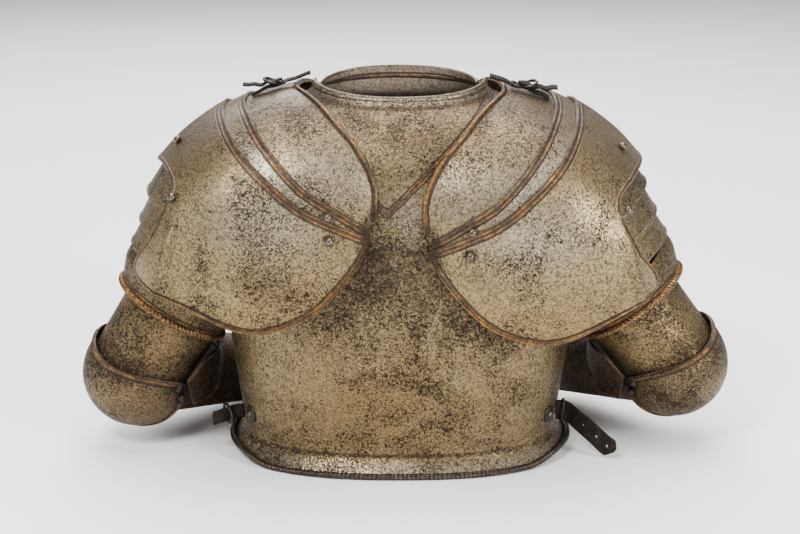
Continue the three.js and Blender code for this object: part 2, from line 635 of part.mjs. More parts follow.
// A flat strap along a path, its width running from one direction to another.
function ribbon(table, half, fromAcross, toAcross, taper) {
  const path = new THREE.CatmullRomCurve3(table.map((row) => vector(row.x, row.y, row.z)));
  const point = (u, v) => {
    const at = THREE.MathUtils.clamp(u, 0, 1);
    const across = fromAcross.clone().lerp(toAcross, at).normalize();
    const wide = half * (taper && at > 0.9 ? mix(1, 0.2, (at - 0.9) / 0.1) : 1);
    const beyond = path.getTangent(at).multiplyScalar((u - at) * 100);
    return path.getPoint(at).add(beyond).addScaledVector(across, wide * (2 * v - 1));
  };
  const rows = [0, 1].map((v) => ({ v, wall: LEATHER }));
  const columns = taper ? [...evenly(9, 0, 0.9), 1] : evenly(6);
  return { geometry: sheet(point, columns, rows, vector(0, 0, 30)), path };
}

function addSideStraps() {
  const strap = ribbon(SIDE_STRAP, SIDE_STRAP_HALF, vector(0, 0, 1), vector(-0.55, 0.25, 0.8),
    true);
  addPiece('side_strap_right', strap.geometry, LEATHER_LOOK);
  const stub = ribbon(SIDE_STUB, SIDE_STUB_HALF, vector(0, 0, 1), vector(0.1, 0, 1), false);
  addPiece('side_strap_left', stub.geometry, LEATHER_LOOK);
  const { share, radius, wire } = SIDE_BUCKLE;
  const place = stub.path.getPoint(share);
  const inward = vector(-0.15, -0.98, 0).multiplyScalar(LEATHER / 2);
  const buckle = ringGeometry(radius, wire, 1);
  buckle.applyQuaternion(new THREE.Quaternion().setFromUnitVectors(vector(0, 0, 1),
    stub.path.getTangent(share)));
  buckle.translate(place.x + inward.x, place.y + inward.y, place.z);
  addPiece('side_buckle_left', buckle, DARK_STEEL);
  const point = (u, v) => torsoPoint('back', u, v);
  const bearing = degrees(SIDE_RIVET.angle);
  for (const [name, mirror] of [['left', 1], ['right', -1]]) {
    const group = new THREE.Group();
    group.scale.x = mirror;
    object.add(group);
    const normal = normalOf(point, bearing, SIDE_RIVET.z, vector(0, 0, SIDE_RIVET.z));
    addPiece(`side_rivet_${name}`, rivetHead(point(bearing, SIDE_RIVET.z), normal, WASHER, 8),
      DARK_STEEL, group);
  }
}

function ringGeometry(radius, wire, squash) {
  const ring = new THREE.TorusGeometry(radius, wire, 5, 10);
  ring.scale(1, squash, 1);
  ring.deleteAttribute('normal');
  ring.deleteAttribute('uv');
  return mergeVertices(ring, 1e-3);
}

function topStrap(table) {
  const point = (u, v) => {
    const angle = mix(table[0].angle, table[table.length - 1].angle, u);
    const height = smoothColumn(table, 'angle', 'height', angle);
    const bearing = degrees(angle);
    return onPauldron(vector(100 * Math.cos(bearing), TOP_STRAP_HALF * (2 * v - 1) - PAULDRON.y,
      100 * Math.sin(bearing)), height + LEATHER);
  };
  const rows = [0, 1].map((v) => ({ v, wall: LEATHER }));
  return sheet(point, evenly(8), rows, vector(PAULDRON.x, 0, PAULDRON.z));
}

function addTopStraps(group, side) {
  addPiece(`pauldron_strap_${side}`, topStrap(TOP_STRAP), LEATHER_LOOK, group);
  addPiece(`pauldron_strap_end_${side}`, topStrap(TOP_STRAP_END), LEATHER_LOOK, group);
  const { angle, height, radius, wire, squash } = TOP_BUCKLE;
  const bearing = degrees(angle);
  const direction = vector(Math.cos(bearing), 0, Math.sin(bearing));
  const place = onPauldron(direction.clone().multiplyScalar(100).setY(-PAULDRON.y), height);
  const along = vector(Math.sin(bearing), 0, -Math.cos(bearing));
  const buckle = ringGeometry(radius, wire, squash);
  buckle.applyMatrix4(new THREE.Matrix4().makeBasis(along.clone().cross(direction).negate(),
    direction, along));
  buckle.translate(place.x, place.y, place.z);
  addPiece(`pauldron_buckle_${side}`, buckle, DARK_STEEL, group);
}

for (const arm of ARMS) {
  const shoulder = hungGroup(arm, SHOULDER_PIVOT, { x: -degrees(arm.pitch), drop: arm.drop });
  addPauldron(shoulder, arm.name);
  addPauldronRivets(shoulder, arm.name);
  addTopStraps(shoulder, arm.name);
  addArm(arm);
  const strapGroup = new THREE.Group();
  strapGroup.scale.x = arm.mirror;
  object.add(strapGroup);
  addPiece(`shoulder_strap_${arm.name}`, shoulderStrap(), LEATHER_LOOK, strapGroup);
}
addSideStraps();

// The arms hang a little unevenly, so the whole is moved until its bounds are centred.
const middle = new THREE.Box3().setFromObject(object, true).getCenter(vector(0, 0, 0));
object.position.set(-middle.x, -middle.y, 0);

export default object;
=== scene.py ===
"""A steel cuirass with winged pauldrons and jointed arms, standing on its waist flange."""
import math

import bmesh
import bpy
import numpy as np
from mathutils import Matrix, Vector


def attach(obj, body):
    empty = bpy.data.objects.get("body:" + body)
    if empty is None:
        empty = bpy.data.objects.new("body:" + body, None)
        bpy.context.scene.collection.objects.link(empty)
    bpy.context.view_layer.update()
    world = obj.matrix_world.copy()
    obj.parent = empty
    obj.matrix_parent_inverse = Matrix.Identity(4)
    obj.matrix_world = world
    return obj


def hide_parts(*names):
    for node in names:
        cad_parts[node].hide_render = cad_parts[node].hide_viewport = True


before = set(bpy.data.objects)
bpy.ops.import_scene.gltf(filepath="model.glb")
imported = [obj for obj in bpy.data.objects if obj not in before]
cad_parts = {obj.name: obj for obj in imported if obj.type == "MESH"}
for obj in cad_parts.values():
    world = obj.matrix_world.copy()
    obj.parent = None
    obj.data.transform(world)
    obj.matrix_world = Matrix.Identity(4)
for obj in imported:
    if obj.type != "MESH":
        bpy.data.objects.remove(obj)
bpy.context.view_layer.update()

bl_info = {
    "name": "Cuirass with Arm Defences",
    "version": (1, 0, 0),
    "blender": (4, 5, 0),
    "location": "3D View > Sidebar > Armour",
    "description": "Dresses the frame of a cuirass with plates, rims, rivets, straps and patina",
    "category": "Object",
}

MM = 0.001
NO_MARK = 99.0                    # a distance mark far from any edge
SIDES = {"left": 1, "right": -1}

# ------------------------------------------------------------------ shape of the frame, in mm
BODY_MIDDLE = (5.025, 4.52, 0.0)  # the body's own middle, from the frame's origin
TORSO_POWER = 2.4
TORSO_HEIGHTS = (0, 9, 19, 32, 100, 180, 240, 300, 330, 345)
TORSO = {
    "half": (168, 162, 156, 157, 167, 174, 176, 167, 151, 134),
    "back": (123, 116, 109, 110, 122, 130, 130, 124, 111, 97),
    "front": (128, 122, 118, 122, 144, 142, 132, 116, 104, 92),
}
SHOULDER_Z = 345
NECK_CLIMB = 40
SHOULDER = {"half": 112, "back": 88, "front": 83, "z": 353}
COLLAR_FOOT = {"half": 87, "back": 81, "front": 74, "z": 355}
COLLAR_DIP = {"back": 0, "front": 17}    # how much lower the collar's foot is in the middle
COLLAR = {
    "back": {"half": 83, "depth": 75, "side": 371, "middle": 364},
    "front": {"half": 76, "depth": 69, "side": 367, "middle": 373},
}
HIP_RISE = 10
KEEL = 10
SIDE_GAP = 0.35
ARMHOLE = {"z": 270, "half_height": 72, "depth": 36}

PAULDRON = np.array((130.0, 5.0, 230.0))
PAULDRON_BACK = 141
PAULDRON_FRONT = 138
PAULDRON_POWER = 2.7
PAULDRON_ANGLES = (-180, -135, -90, -45, 0, 35, 65, 90, 120, 150, 180)
PAULDRON_RADII = (200, 185, 156, 149, 133, 118, 117, 128, 156, 194, 200)
LAYER = 3.2
INNER_EDGE = (
    (22, 134, 262), (20, 131, 288), (35, 120, 323), (62, 96, 352), (97, 18, 367),
    (92, -50, 362), (72, -95, 338), (58, -122, 305), (52, -134, 262))
FIRST_LINE = (
    (29, 139, 252), (56, 141, 268), (92, 140, 292), (128, 116, 332), (152, 22, 362),
    (146, -70, 350), (124, -112, 320), (92, -132, 282), (57, -138, 250))
SECOND_LINE = (
    (29, 138, 243), (60, 142, 256), (100, 143, 277), (148, 124, 323), (174, 21, 354),
    (170, -75, 340), (146, -118, 300), (100, -134, 264), (60, -138, 240))
LOWER_EDGE = (
    (31, 140, 235), (51, 141, 206), (90, 141, 169), (141, 138, 154), (202, 133, 177))
WING_EDGE = {
    "left": ((253, 97, 203), (233, 118, 243), (217, 115, 286), (227, 78, 300),
             (240, -5, 291)),
    "right": ((239, 104, 204), (219, 122, 243), (203, 118, 281), (223, 79, 298),
              (239, -5, 292)),
}
FRONT_EDGE = (
    (234, -70, 276), (222, -108, 244), (186, -130, 206), (130, -136, 194),
    (84, -137, 208), (61, -138, 230))
WING_SHARES = ((0, 0.333, 0.467, 0.6, 1), (0, 0.25, 0.36, 0.5, 1))
WING_FOLD = ((213, 254), (220, 225), (231, 189))    # x, z down the crease near the wing's tip

SHOULDER_PIVOT = np.array((163.0, 0.0, 247.0))
ELBOW = (267, 0, 72)
ARM_SPREAD = 31.3
FOREARM_YAW = 50
FOREARM_DROP = 11
ARMS = {
    "left": {"spread": 0, "inward": 0, "pitch": 0, "drop": 0},
    "right": {"spread": 5.2, "inward": 5, "pitch": 5, "drop": 1},
}
# Arm plates: how far they reach round, then rows of height, outward radius, width and shift.
ARM_LAMES = {
    "arm_lame_1": (96, ((172, 85, 99, 0), (218, 84, 104, 0))),
    "arm_lame_2": (100, ((143, 77, 88, 0), (184, 80, 92, 0))),
    "arm_lame_3": (106, ((118, 72, 78, 0), (156, 73.5, 82, 0))),
}
TURNER = ((77, 57, 61, 3.5), (88, 59.5, 64, 4), (104, 65, 69, 4.5), (118, 65.5, 70, 4))
TURNER_INSIDE_TOP = 93
UPPER_CANNON = {"start": 3, "crook": 84, "end": 98, "near": 49.5, "far": 51}
LOWER_CANNON = {"start": 3, "crook": 84, "end": 188, "near": 45, "far": 34}
COUTER = {"rim_up": 22, "rim_dip": 15, "rim": 55.5, "low_rim": 54.5, "bulge": 53.5, "sweep": 97}
WING = {"along": 62, "deep": 88, "power": 3, "sweep": 82}
WING_HALVES = ((0, 30, 66, 83), (9, 13, 28, 19))
PIVOT_ANGLE = 89
PIVOT_SHARES = (0.2, 0.8)
LAME_RIVET_ANGLE = 66
PAULDRON_RIVETS = {
    "rivet_middle": ((-60, 137, 33), 2), "rivet_back": ((-60, 137, 12), 3),
    "rivet_wing": ((84, 118, 49), 3), "rivet_top": ((86, 46, 92), 3),
}

SHOULDER_STRAP = {"reach": 28, "low": 348, "high": 360}
SIDE_RIVET = (24, 43)
SIDE_STRAP = ((-156, 35, 43), (-164, 33, 42), (-176, 41, 35), (-190, 52, 25), (-204, 60, 14),
              (-213, 64, 9))
SIDE_STUB = ((156, 35, 42), (163, 33, 41), (173, 37, 39), (186, 43, 36))
TOP_STRAP = ((83, 88, 93, 98, 106), (1, 2.4, 3.6, 4.4, 10))
TOP_STRAP_END = ((80, 87, 96), (14, 8.2, 7.6))
TOP_STRAP_HALF = 4.6
TOP_BUCKLE = {"angle": 92, "height": 8.2, "radius": 11, "squash": 0.69}

# The gilt V on the back: its point, and where its legs reach the shoulder.
BACK_BAND_POINT = (12, 263)
BACK_BAND_TOPS = ((114, 363), (-90, 363))
BACK_BAND_START = 4.2             # mm into BAND_LINES at the V's own line
BACK_BAND_NARROWING = 1.2         # over 1 makes the V's band narrower than BAND_LINES
CREASE_Z = 19.5                   # where the wall turns out into the flange

BODY_RIM_RISE = 1.6
# Half-round rims: width, rise and number of steps across.
RIDGE = (2.4, 0.7, 3)
LAME_RIM = (3, 0.9, 4)
ARM_RIM = (4, 1.6, 5)
WING_RIM = (3, 0.8, 4)

# Roped rims: radius as a share of the rope's own, and lift off the plate's edge.
NECK_ROPE_SHARE = 0.55
TURNER_ROPE_SHARE = 1.2
TURNER_ROPE_LIFT = 3
ROPE_LOBES = 4
ROPE_LOBE_DEPTH = 0.16
ROPE_SIDES = 20
ROPE_STEPS = 16                   # to one full twist

HEAD_SEGMENTS, HEAD_RINGS = 20, 12
HEAD_HEIGHT = 0.85                # of a domed head's radius
LAME_RIVET_UP = 9.0               # above the lame's lower edge
PIVOT_RADIUS = 4.4
PIVOT_PROUD = 0.8
WASHER = {"radius": 9, "height": 0.22, "proud": 0.4}
WASHER_HEAD = {"radius": 3.4, "height": 0.6, "proud": 2}

# Straps: half widths, holes as rows along the strap, and the wire of loops and tongues.
SIDE_STRAP_ROWS = 70
SIDE_STRAP_HALF = 10.2
SIDE_STUB_ROWS = 40
SIDE_STUB_HALF = 7
SIDE_HOLES = (34, 46, 57)
HOLE_RADIUS = 1.6
PUNCH_LENGTH = 14
KEEPER = {"radius": 11, "wire": 1.0, "squash": 0.45}
SIDE_BUCKLE = {"row": 24, "radius": 10.5, "wire": 1.5, "tongue": 1.2}
TOP_TONGUE = {"before": 7, "after": 8, "wire": 1.1}
SHOULDER_STRAP_LIFT = 2.6

SHARP_PLATE = math.radians(50)
SHARP_STRAP = math.radians(55)


# ------------------------------------------------------------------ settings
class ArmourSizes(bpy.types.PropertyGroup):
    wall: bpy.props.FloatProperty(
        name="Plate Thickness", description="Thickness of the steel plates",
        default=1.8 * MM, min=0.5 * MM, max=4 * MM, unit="LENGTH")
    rim_rise: bpy.props.FloatProperty(
        name="Rim Rise", description="How far a rolled rim stands out of its plate",
        default=2.4 * MM, min=0, max=5 * MM, unit="LENGTH")
    rim_width: bpy.props.FloatProperty(
        name="Rim Width", description="Width of a rolled rim",
        default=5.0 * MM, min=1 * MM, max=12 * MM, unit="LENGTH")
    rope_radius: bpy.props.FloatProperty(
        name="Rope Radius", description="Radius of the roped rims",
        default=2.9 * MM, min=0.5 * MM, max=6 * MM, unit="LENGTH")
    rope_pitch: bpy.props.FloatProperty(
        name="Rope Pitch", description="Length of one full twist of a roped rim",
        default=17 * MM, min=3 * MM, max=90 * MM, unit="LENGTH")
    rivet_radius: bpy.props.FloatProperty(
        name="Rivet Radius", description="Radius of the domed rivet heads",
        default=4.1 * MM, min=1 * MM, max=8 * MM, unit="LENGTH")
    leather: bpy.props.FloatProperty(
        name="Strap Thickness", description="Thickness of the leather straps",
        default=2.6 * MM, min=1 * MM, max=5 * MM, unit="LENGTH")


class ArmourColours(bpy.types.PropertyGroup):
    steel: bpy.props.FloatVectorProperty(
        name="Steel", description="Pale worn steel", subtype="COLOR",
        size=4, min=0, max=1, default=(0.275, 0.203, 0.103, 1))
    shade: bpy.props.FloatVectorProperty(
        name="Shade", description="Darker steel between the worn places", subtype="COLOR",
        size=4, min=0, max=1, default=(0.07, 0.05, 0.026, 1))
    brown: bpy.props.FloatVectorProperty(
        name="Brown", description="Brown patina", subtype="COLOR",
        size=4, min=0, max=1, default=(0.062, 0.036, 0.02, 1))
    copper: bpy.props.FloatVectorProperty(
        name="Copper", description="Reddish bloom on rubbed patina", subtype="COLOR",
        size=4, min=0, max=1, default=(0.17, 0.103, 0.062, 1))
    pit: bpy.props.FloatVectorProperty(
        name="Pits", description="Corrosion pits and grime", subtype="COLOR",
        size=4, min=0, max=1, default=(0.01, 0.0075, 0.006, 1))
    ochre: bpy.props.FloatVectorProperty(
        name="Ochre", description="Yellow staining", subtype="COLOR",
        size=4, min=0, max=1, default=(0.23, 0.148, 0.05, 1))
    silver: bpy.props.FloatVectorProperty(
        name="Silver", description="Brightest rubbed steel", subtype="COLOR",
        size=4, min=0, max=1, default=(0.46, 0.42, 0.34, 1))
    gilt: bpy.props.FloatVectorProperty(
        name="Gilt", description="Worn gilding on the bands and rims", subtype="COLOR",
        size=4, min=0, max=1, default=(0.3, 0.15, 0.04, 1))
    band: bpy.props.FloatVectorProperty(
        name="Band Ground", description="Dark ground of the gilt bands", subtype="COLOR",
        size=4, min=0, max=1, default=(0.055, 0.034, 0.024, 1))
    leather: bpy.props.FloatVectorProperty(
        name="Leather", description="Old strap leather", subtype="COLOR",
        size=4, min=0, max=1, default=(0.0105, 0.0075, 0.0055, 1))


def sizes():
    return bpy.context.scene.armour_sizes


def colours():
    return bpy.context.scene.armour_colours


# ------------------------------------------------------------------ curves and surfaces
def smooth_column(places, values, at):
    """A smooth curve through a short table."""
    places = np.asarray(places, float)
    values = np.asarray(values, float)
    before = np.clip(np.arange(len(places)) - 1, 0, None)
    after = np.clip(np.arange(len(places)) + 1, None, len(places) - 1)
    slopes = (values[after] - values[before]) / (places[after] - places[before])
    at = np.asarray(at, float)
    i = np.clip(np.searchsorted(places, at, side="left") - 1, 0, len(places) - 2)
    step = places[i + 1] - places[i]
    t = np.clip((at - places[i]) / step, 0, 1)
    a, b = values[i], values[i + 1]
    bend = (1 - t) * slopes[i] * step - t * slopes[i + 1] * step - (1 - 2 * t) * (b - a)
    return a + (b - a) * t + t * (1 - t) * bend


def curve_through(points, t):
    """A centripetal curve through points, read at shares t of its spans."""
    points = np.asarray(points, float)
    last = len(points) - 1
    place = np.clip(np.asarray(t, float), 0, 1) * last
    i = np.clip(np.floor(place).astype(int), 0, last - 1)
    w = (place - i)[..., None]
    path = np.vstack((2 * points[0] - points[1], points, 2 * points[-1] - points[-2]))
    p0, p1, p2, p3 = path[i], path[i + 1], path[i + 2], path[i + 3]
    d0, d1, d2 = (np.linalg.norm(b - a, axis=-1, keepdims=True) ** 0.5
                  for a, b in ((p0, p1), (p1, p2), (p2, p3)))
    t1 = ((p1 - p0) / d0 - (p2 - p0) / (d0 + d1) + (p2 - p1) / d1) * d1
    t2 = ((p2 - p1) / d1 - (p3 - p1) / (d1 + d2) + (p3 - p2) / d2) * d1
    return (p1 + t1 * w + (3 * (p2 - p1) - 2 * t1 - t2) * w ** 2
            + (2 * (p1 - p2) + t1 + t2) * w ** 3)


def smoothstep(value, low, high):
    t = np.clip((value - low) / (high - low), 0, 1)
    return t * t * (3 - 2 * t)


def hump(*parts):
    """1 at the middle of every (value, middle, width) given, fading out around it."""
    return np.exp(-sum(((value - middle) / width) ** 2 for value, middle, width in parts))


def bone(*parts):
    """One array of points from its coordinates."""
    return np.stack(np.broadcast_arrays(*parts), axis=-1)


def torso_section(side, angle, half, depth, z):
    away = 1 if side == "back" else -1
    cosine, sine = np.cos(angle), np.abs(np.sin(angle))
    across = np.sign(cosine) * np.abs(cosine) ** (2 / TORSO_POWER)
    return bone(half * across, away * depth * sine ** (2 / TORSO_POWER), z)


def torso_point(side, angle, climb):
    """The body's outer face. Past SHOULDER_Z the climb runs on to the edge of the neck."""
    low = np.minimum(climb, SHOULDER_Z)
    hip = (HIP_RISE * smoothstep(np.abs(np.cos(angle)), 0.7, 1) * (1 - smoothstep(low, 0, 60)))
    half = smooth_column(TORSO_HEIGHTS, TORSO["half"], low)
    depth = smooth_column(TORSO_HEIGHTS, TORSO[side], low)
    start = torso_section(side, angle, half, depth, low + hip)
    if side == "front":
        ridge = np.maximum(0, 1 - np.abs(start[..., 0]) / 60) ** 1.5
        start[..., 1] -= KEEL * ridge * smoothstep(low, 20, 120) * (1 - smoothstep(low, 200, 330))
    edge = COLLAR[side]
    t = np.clip((climb - SHOULDER_Z) / NECK_CLIMB, 0, None)[..., None]
    rise = edge["side"] + (edge["middle"] - edge["side"]) * np.sin(angle) ** 2
    dip = COLLAR_DIP[side] * np.sin(angle) ** 2
    bend = torso_section(side, angle, SHOULDER["half"], SHOULDER[side],
                         SHOULDER["z"] - 0.6 * dip)
    foot = torso_section(side, angle, COLLAR_FOOT["half"], COLLAR_FOOT[side],
                         COLLAR_FOOT["z"] - dip)
    rim = torso_section(side, angle, edge["half"], edge["depth"], rise)
    return (start * (1 - t) ** 3 + bend * 3 * t * (1 - t) ** 2
            + foot * 3 * t * t * (1 - t) + rim * t ** 3)


def torso_plate(side):
    def point(u, climb):
        place = (climb - ARMHOLE["z"]) / ARMHOLE["half_height"]
        scoop = np.where(np.abs(place) < 1, ARMHOLE["depth"] * np.cos(place * math.pi / 2), 0)
        edge = SIDE_GAP + scoop
        return torso_point(side, np.radians(edge + (180 - 2 * edge) * u), climb)
    return point


def on_pauldron(direction, layer=0.0):
    """The pauldron's rounded shell, met along a direction from its centre."""
    x, y, z = direction[..., 0], direction[..., 1], direction[..., 2]
    radius = smooth_column(PAULDRON_ANGLES, PAULDRON_RADII, np.degrees(np.arctan2(z, x)))
    depth = np.where(y > 0, PAULDRON_BACK, PAULDRON_FRONT)
    power = PAULDRON_POWER
    reach = ((np.hypot(x, z) / radius) ** power + (np.abs(y) / depth) ** power) ** (-1 / power)
    length = np.linalg.norm(direction, axis=-1)
    return PAULDRON + direction * (reach + layer / length)[..., None]


def mid_line(first, second, share):
    first, second = np.asarray(first, float), np.asarray(second, float)
    return first + (second - first) * share


def pauldron_plate(upper, lower, layer, share=None):
    top = np.asarray(upper, float) - PAULDRON
    bottom = np.asarray(lower, float) - PAULDRON

    def point(u, v):
        u, v = np.clip(u, 0, 1), np.clip(v, 0, 1)[..., None]
        start = curve_through(top, share(u) if share else u)
        return on_pauldron(start * (1 - v) + curve_through(bottom, u) * v, layer * LAYER)
    return point


def wing_share(u):
    return smooth_column(*WING_SHARES, u)


def elbow_frame(side):
    """Directions at a left elbow: upper arm, forearm, hinge and the outsides of the bend."""
    spread = math.radians(ARM_SPREAD + ARMS[side]["spread"])
    yaw, drop = math.radians(FOREARM_YAW), math.radians(FOREARM_DROP)
    up = np.array((-math.sin(spread), 0, math.cos(spread)))
    fore = np.array((-math.cos(yaw) * math.cos(drop), -math.sin(yaw) * math.cos(drop),
                     -math.sin(drop)))
    hinge = np.cross(fore, up)
    hinge /= np.linalg.norm(hinge)
    crook = (up + fore) / np.linalg.norm(up + fore)
    return {"up": up, "fore": fore, "hinge": hinge, "up_out": np.cross(hinge, up),
            "fore_out": np.cross(fore, hinge), "crook": crook}


def elbow_place(side):
    x, z = ELBOW[0] - SHOULDER_PIVOT[0], SHOULDER_PIVOT[2] - ELBOW[2]
    swing = math.atan2(x, z) + math.radians(ARMS[side]["spread"])
    reach = math.hypot(x, z)
    return np.array((SHOULDER_PIVOT[0] - ARMS[side]["inward"] + reach * math.sin(swing), 0,
                     SHOULDER_PIVOT[2] - reach * math.cos(swing)))


def about_arm(side, rows, angle, v):
    """A ring section about the upper arm. Angle 0 is straight outwards."""
    up = elbow_frame(side)["up"]
    out = np.array((up[2], 0, -up[0]))
    heights = [row[0] for row in rows]
    radius, wide, shift = (smooth_column(heights, [row[i] for row in rows], v) for i in (1, 2, 3))
    return (elbow_place(side) + up * np.asarray(v)[..., None]
            + out * (shift + radius * np.cos(angle))[..., None]
            + np.array((0, 1, 0)) * (wide * np.sin(angle))[..., None])


def arm_lame(side, name):
    reach, rows = ARM_LAMES[name]

    def point(u, v):
        height = rows[0][0] + (rows[-1][0] - rows[0][0]) * v
        return about_arm(side, rows, np.radians(reach * (2 * u - 1)), height)
    return point


def turner_ring(side):
    def point(u, v):
        angle = u * 2 * math.pi
        top = TURNER_INSIDE_TOP + (TURNER[-1][0] - TURNER_INSIDE_TOP) * (1 + np.cos(angle)) / 2
        return about_arm(side, TURNER, angle, TURNER[0][0] + (top - TURNER[0][0]) * v)
    return point


def cannon(side, along, outside, size):
    """A tube about one bone, cut high inside the bend so that the elbow can close."""
    axes = elbow_frame(side)

    def point(u, v):
        angle = u * 2 * math.pi
        inside = np.clip(-np.cos(angle) / 0.75, 0, 1)
        start = size["start"] + (size["crook"] - size["start"]) * inside
        reach = start + (size["end"] - start) * v
        radius = size["near"] + (size["far"] - size["near"]) * reach / size["end"]
        return (elbow_place(side) + axes[along] * reach[..., None]
                + axes[outside] * (radius * np.cos(angle))[..., None]
                + axes["hinge"] * (radius * np.sin(angle))[..., None])
    return point


def couter_point(side, angle, v):
    axes = elbow_frame(side)
    height = COUTER["rim_up"] - COUTER["rim_dip"] * np.maximum(0, np.cos(angle)) ** 2

    def rim(along, outside, radius):
        return (axes[outside] * (radius * np.cos(angle))[..., None]
                + axes["hinge"] * (radius * np.sin(angle))[..., None]
                + axes[along] * height[..., None])
    high = rim("up", "up_out", COUTER["rim"])
    low = rim("fore", "fore_out", COUTER["low_rim"])
    high_reach = np.linalg.norm(high, axis=-1)
    low_reach = np.linalg.norm(low, axis=-1)
    turn = np.arccos(np.sum(high * low, axis=-1) / (high_reach * low_reach))
    reach = high_reach + (low_reach - high_reach) * v
    flat = np.sin(math.pi * np.clip(v, 0, 1)) ** 0.6
    ball = reach + (COUTER["bulge"] - reach) * flat
    direction = (high / high_reach[..., None] * np.sin((1 - v) * turn)[..., None]
                 + low / low_reach[..., None] * np.sin(v * turn)[..., None])
    direction /= np.linalg.norm(direction, axis=-1, keepdims=True)
    return elbow_place(side) + direction * ball[..., None]


def couter(side):
    return lambda u, v: couter_point(side, np.radians(COUTER["sweep"]) * (2 * u - 1), v)


def couter_wing(side):
    axes = elbow_frame(side)
    across = np.cross(axes["crook"], axes["hinge"])

    def point(u, v):
        angle = np.radians(WING["sweep"]) * (2 * u - 1)
        deep = np.abs(np.cos(angle)) ** (2 / WING["power"])
        along = np.sign(angle) * np.abs(np.sin(angle)) ** (2 / WING["power"])
        half = smooth_column(*WING_HALVES, np.abs(np.degrees(angle)))
        return (elbow_place(side) + axes["crook"] * (WING["deep"] * deep)[..., None]
                + axes["hinge"] * (WING["along"] * along)[..., None]
                + across * (half * (2 * v - 1))[..., None])
    return point


# ------------------------------------------------------------------ placing in the frame
def place_body(points):
    return points + BODY_MIDDLE


def place_arm(side):
    return lambda points: points * (SIDES[side], 1, 1) + BODY_MIDDLE


def place_pauldron(side):
    """A pauldron is tipped about the shoulder and dropped a little, then set on its side."""
    tilt = -math.radians(ARMS[side]["pitch"])
    turn = np.array(((1, 0, 0), (0, math.cos(tilt), math.sin(tilt)),
                     (0, -math.sin(tilt), math.cos(tilt))))

    def place(points):
        turned = (points - SHOULDER_PIVOT) @ turn + SHOULDER_PIVOT - (0, 0, ARMS[side]["drop"])
        return place_arm(side)(turned)
    return place


# ------------------------------------------------------------------ meshes
def bead(width, rise, count=6):
    """Offsets across a half-round rim: distance from the edge and lift, from the edge in."""
    turns = np.linspace(0, math.pi, count + 1)
    return [(width * (1 - math.cos(t)) / 2, rise * math.sin(t)) for t in turns]


def hammered(points, amount):
    """Low dents of hand work, a few centimetres across."""
    waves = ((0.061, 0.043, 0.052, 0.7), (0.031, -0.069, 0.047, 2.1), (-0.083, 0.024, 0.071, 4.4),
             (0.112, 0.094, -0.067, 1.3))
    total = sum(np.sin(points @ np.array(wave[:3]) + wave[3]) for wave in waves)
    return amount * total / len(waves)


def plate_grid(point, columns, start, middle, end, span, wraps, end_share):
    """A plate's outer face, its normals and the lift of its rims, which keep a real width."""
    low, high = span
    u = np.linspace(0, 1, columns, endpoint=not wraps)
    steps = low + (high - low) * np.linspace(0, 1, 33)
    track = point(*np.meshgrid(u, steps))
    length = np.linalg.norm(np.diff(track, axis=0), axis=-1).sum(axis=0)
    start_width = (start[-1][0] if start else 0) / length
    end_width = (end[-1][0] if end else 0) / length
    flat = np.zeros(columns)
    rows = [(offset / length, lift + flat) for offset, lift in start]
    skip = 1 if start else 0
    for share in np.linspace(0, 1, middle + 1)[skip:(-1 if end else None)]:
        rows.append((start_width + (1 - start_width - end_width) * share, flat))
    strength = end_share(u) if end_share else 1
    rows += [(1 - offset / length, lift * strength + flat) for offset, lift in reversed(end)]
    v = np.array([low + (high - low) * row[0] for row in rows])
    lift = np.array([row[1] for row in rows])
    uu = np.broadcast_to(u, v.shape)
    step = 1e-3
    du = point(uu + step, v) - point(uu - step, v)
    dv = (point(uu, v + step * (high - low)) - point(uu, v - step * (high - low)))
    normal = np.cross(du, dv)
    normal /= np.linalg.norm(normal, axis=-1, keepdims=True)
    return point(uu, v), normal, lift


def shell_mesh(name, outer, inner, wraps=False):
    """A closed mesh from an outer and an inner grid of the same shape."""
    high, wide = outer.shape[:2]
    under = high * wide
    points = np.vstack((outer.reshape(-1, 3), inner.reshape(-1, 3)))
    spans = wide if wraps else wide - 1
    j, i = np.meshgrid(np.arange(high - 1), np.arange(spans), indexing="ij")
    a = (j * wide + i).ravel()
    b = (j * wide + (i + 1) % wide).ravel()
    faces = [np.stack((a, b, b + wide, a + wide), 1),
             np.stack((a + under, a + wide + under, b + wide + under, b + under), 1)]
    i = np.arange(spans)
    n = (i + 1) % wide
    top = (high - 1) * wide
    faces += [np.stack((i, i + under, n + under, n), 1),
              np.stack((top + i, top + n, top + n + under, top + i + under), 1)]
    if not wraps:
        a = np.arange(high - 1) * wide
        b = a + wide - 1
        faces += [np.stack((a, a + wide, a + wide + under, a + under), 1),
                  np.stack((b, b + under, b + wide + under, b + wide), 1)]
    faces = np.vstack(faces)
    p = points[faces]
    volume = (np.sum(p[:, 0] * np.cross(p[:, 1], p[:, 2])) + np.sum(
        p[:, 0] * np.cross(p[:, 2], p[:, 3])))
    if volume < 0:
        faces = faces[:, ::-1]
    mesh = bpy.data.meshes.new(name)
    mesh.from_pydata((points * MM).tolist(), [], faces.tolist())
    mesh.update()
    mesh.shade_smooth()
    mesh.set_sharp_from_angle(angle=SHARP_PLATE)
    return mesh


def add_mark(mesh, name, values):
    layer = mesh.attributes.new(name, "FLOAT", "POINT")
    layer.data.foreach_set("value", np.asarray(values, np.float32).ravel())


def finish_piece(name, mesh, material, body, nodes=()):
    """Links a finished mesh as a piece, puts it on its body and hides the frame's parts that it
    stands for.
    """
    piece = bpy.data.objects.new(name, mesh)
    bpy.context.scene.collection.objects.link(piece)
    mesh.materials.clear()
    mesh.materials.append(material)
    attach(piece, body)
    if nodes:
        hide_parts(*nodes)


def finish_strap(name, mesh, node):
    finish_piece(name, mesh, made_of("old_leather"), "body", (node,))


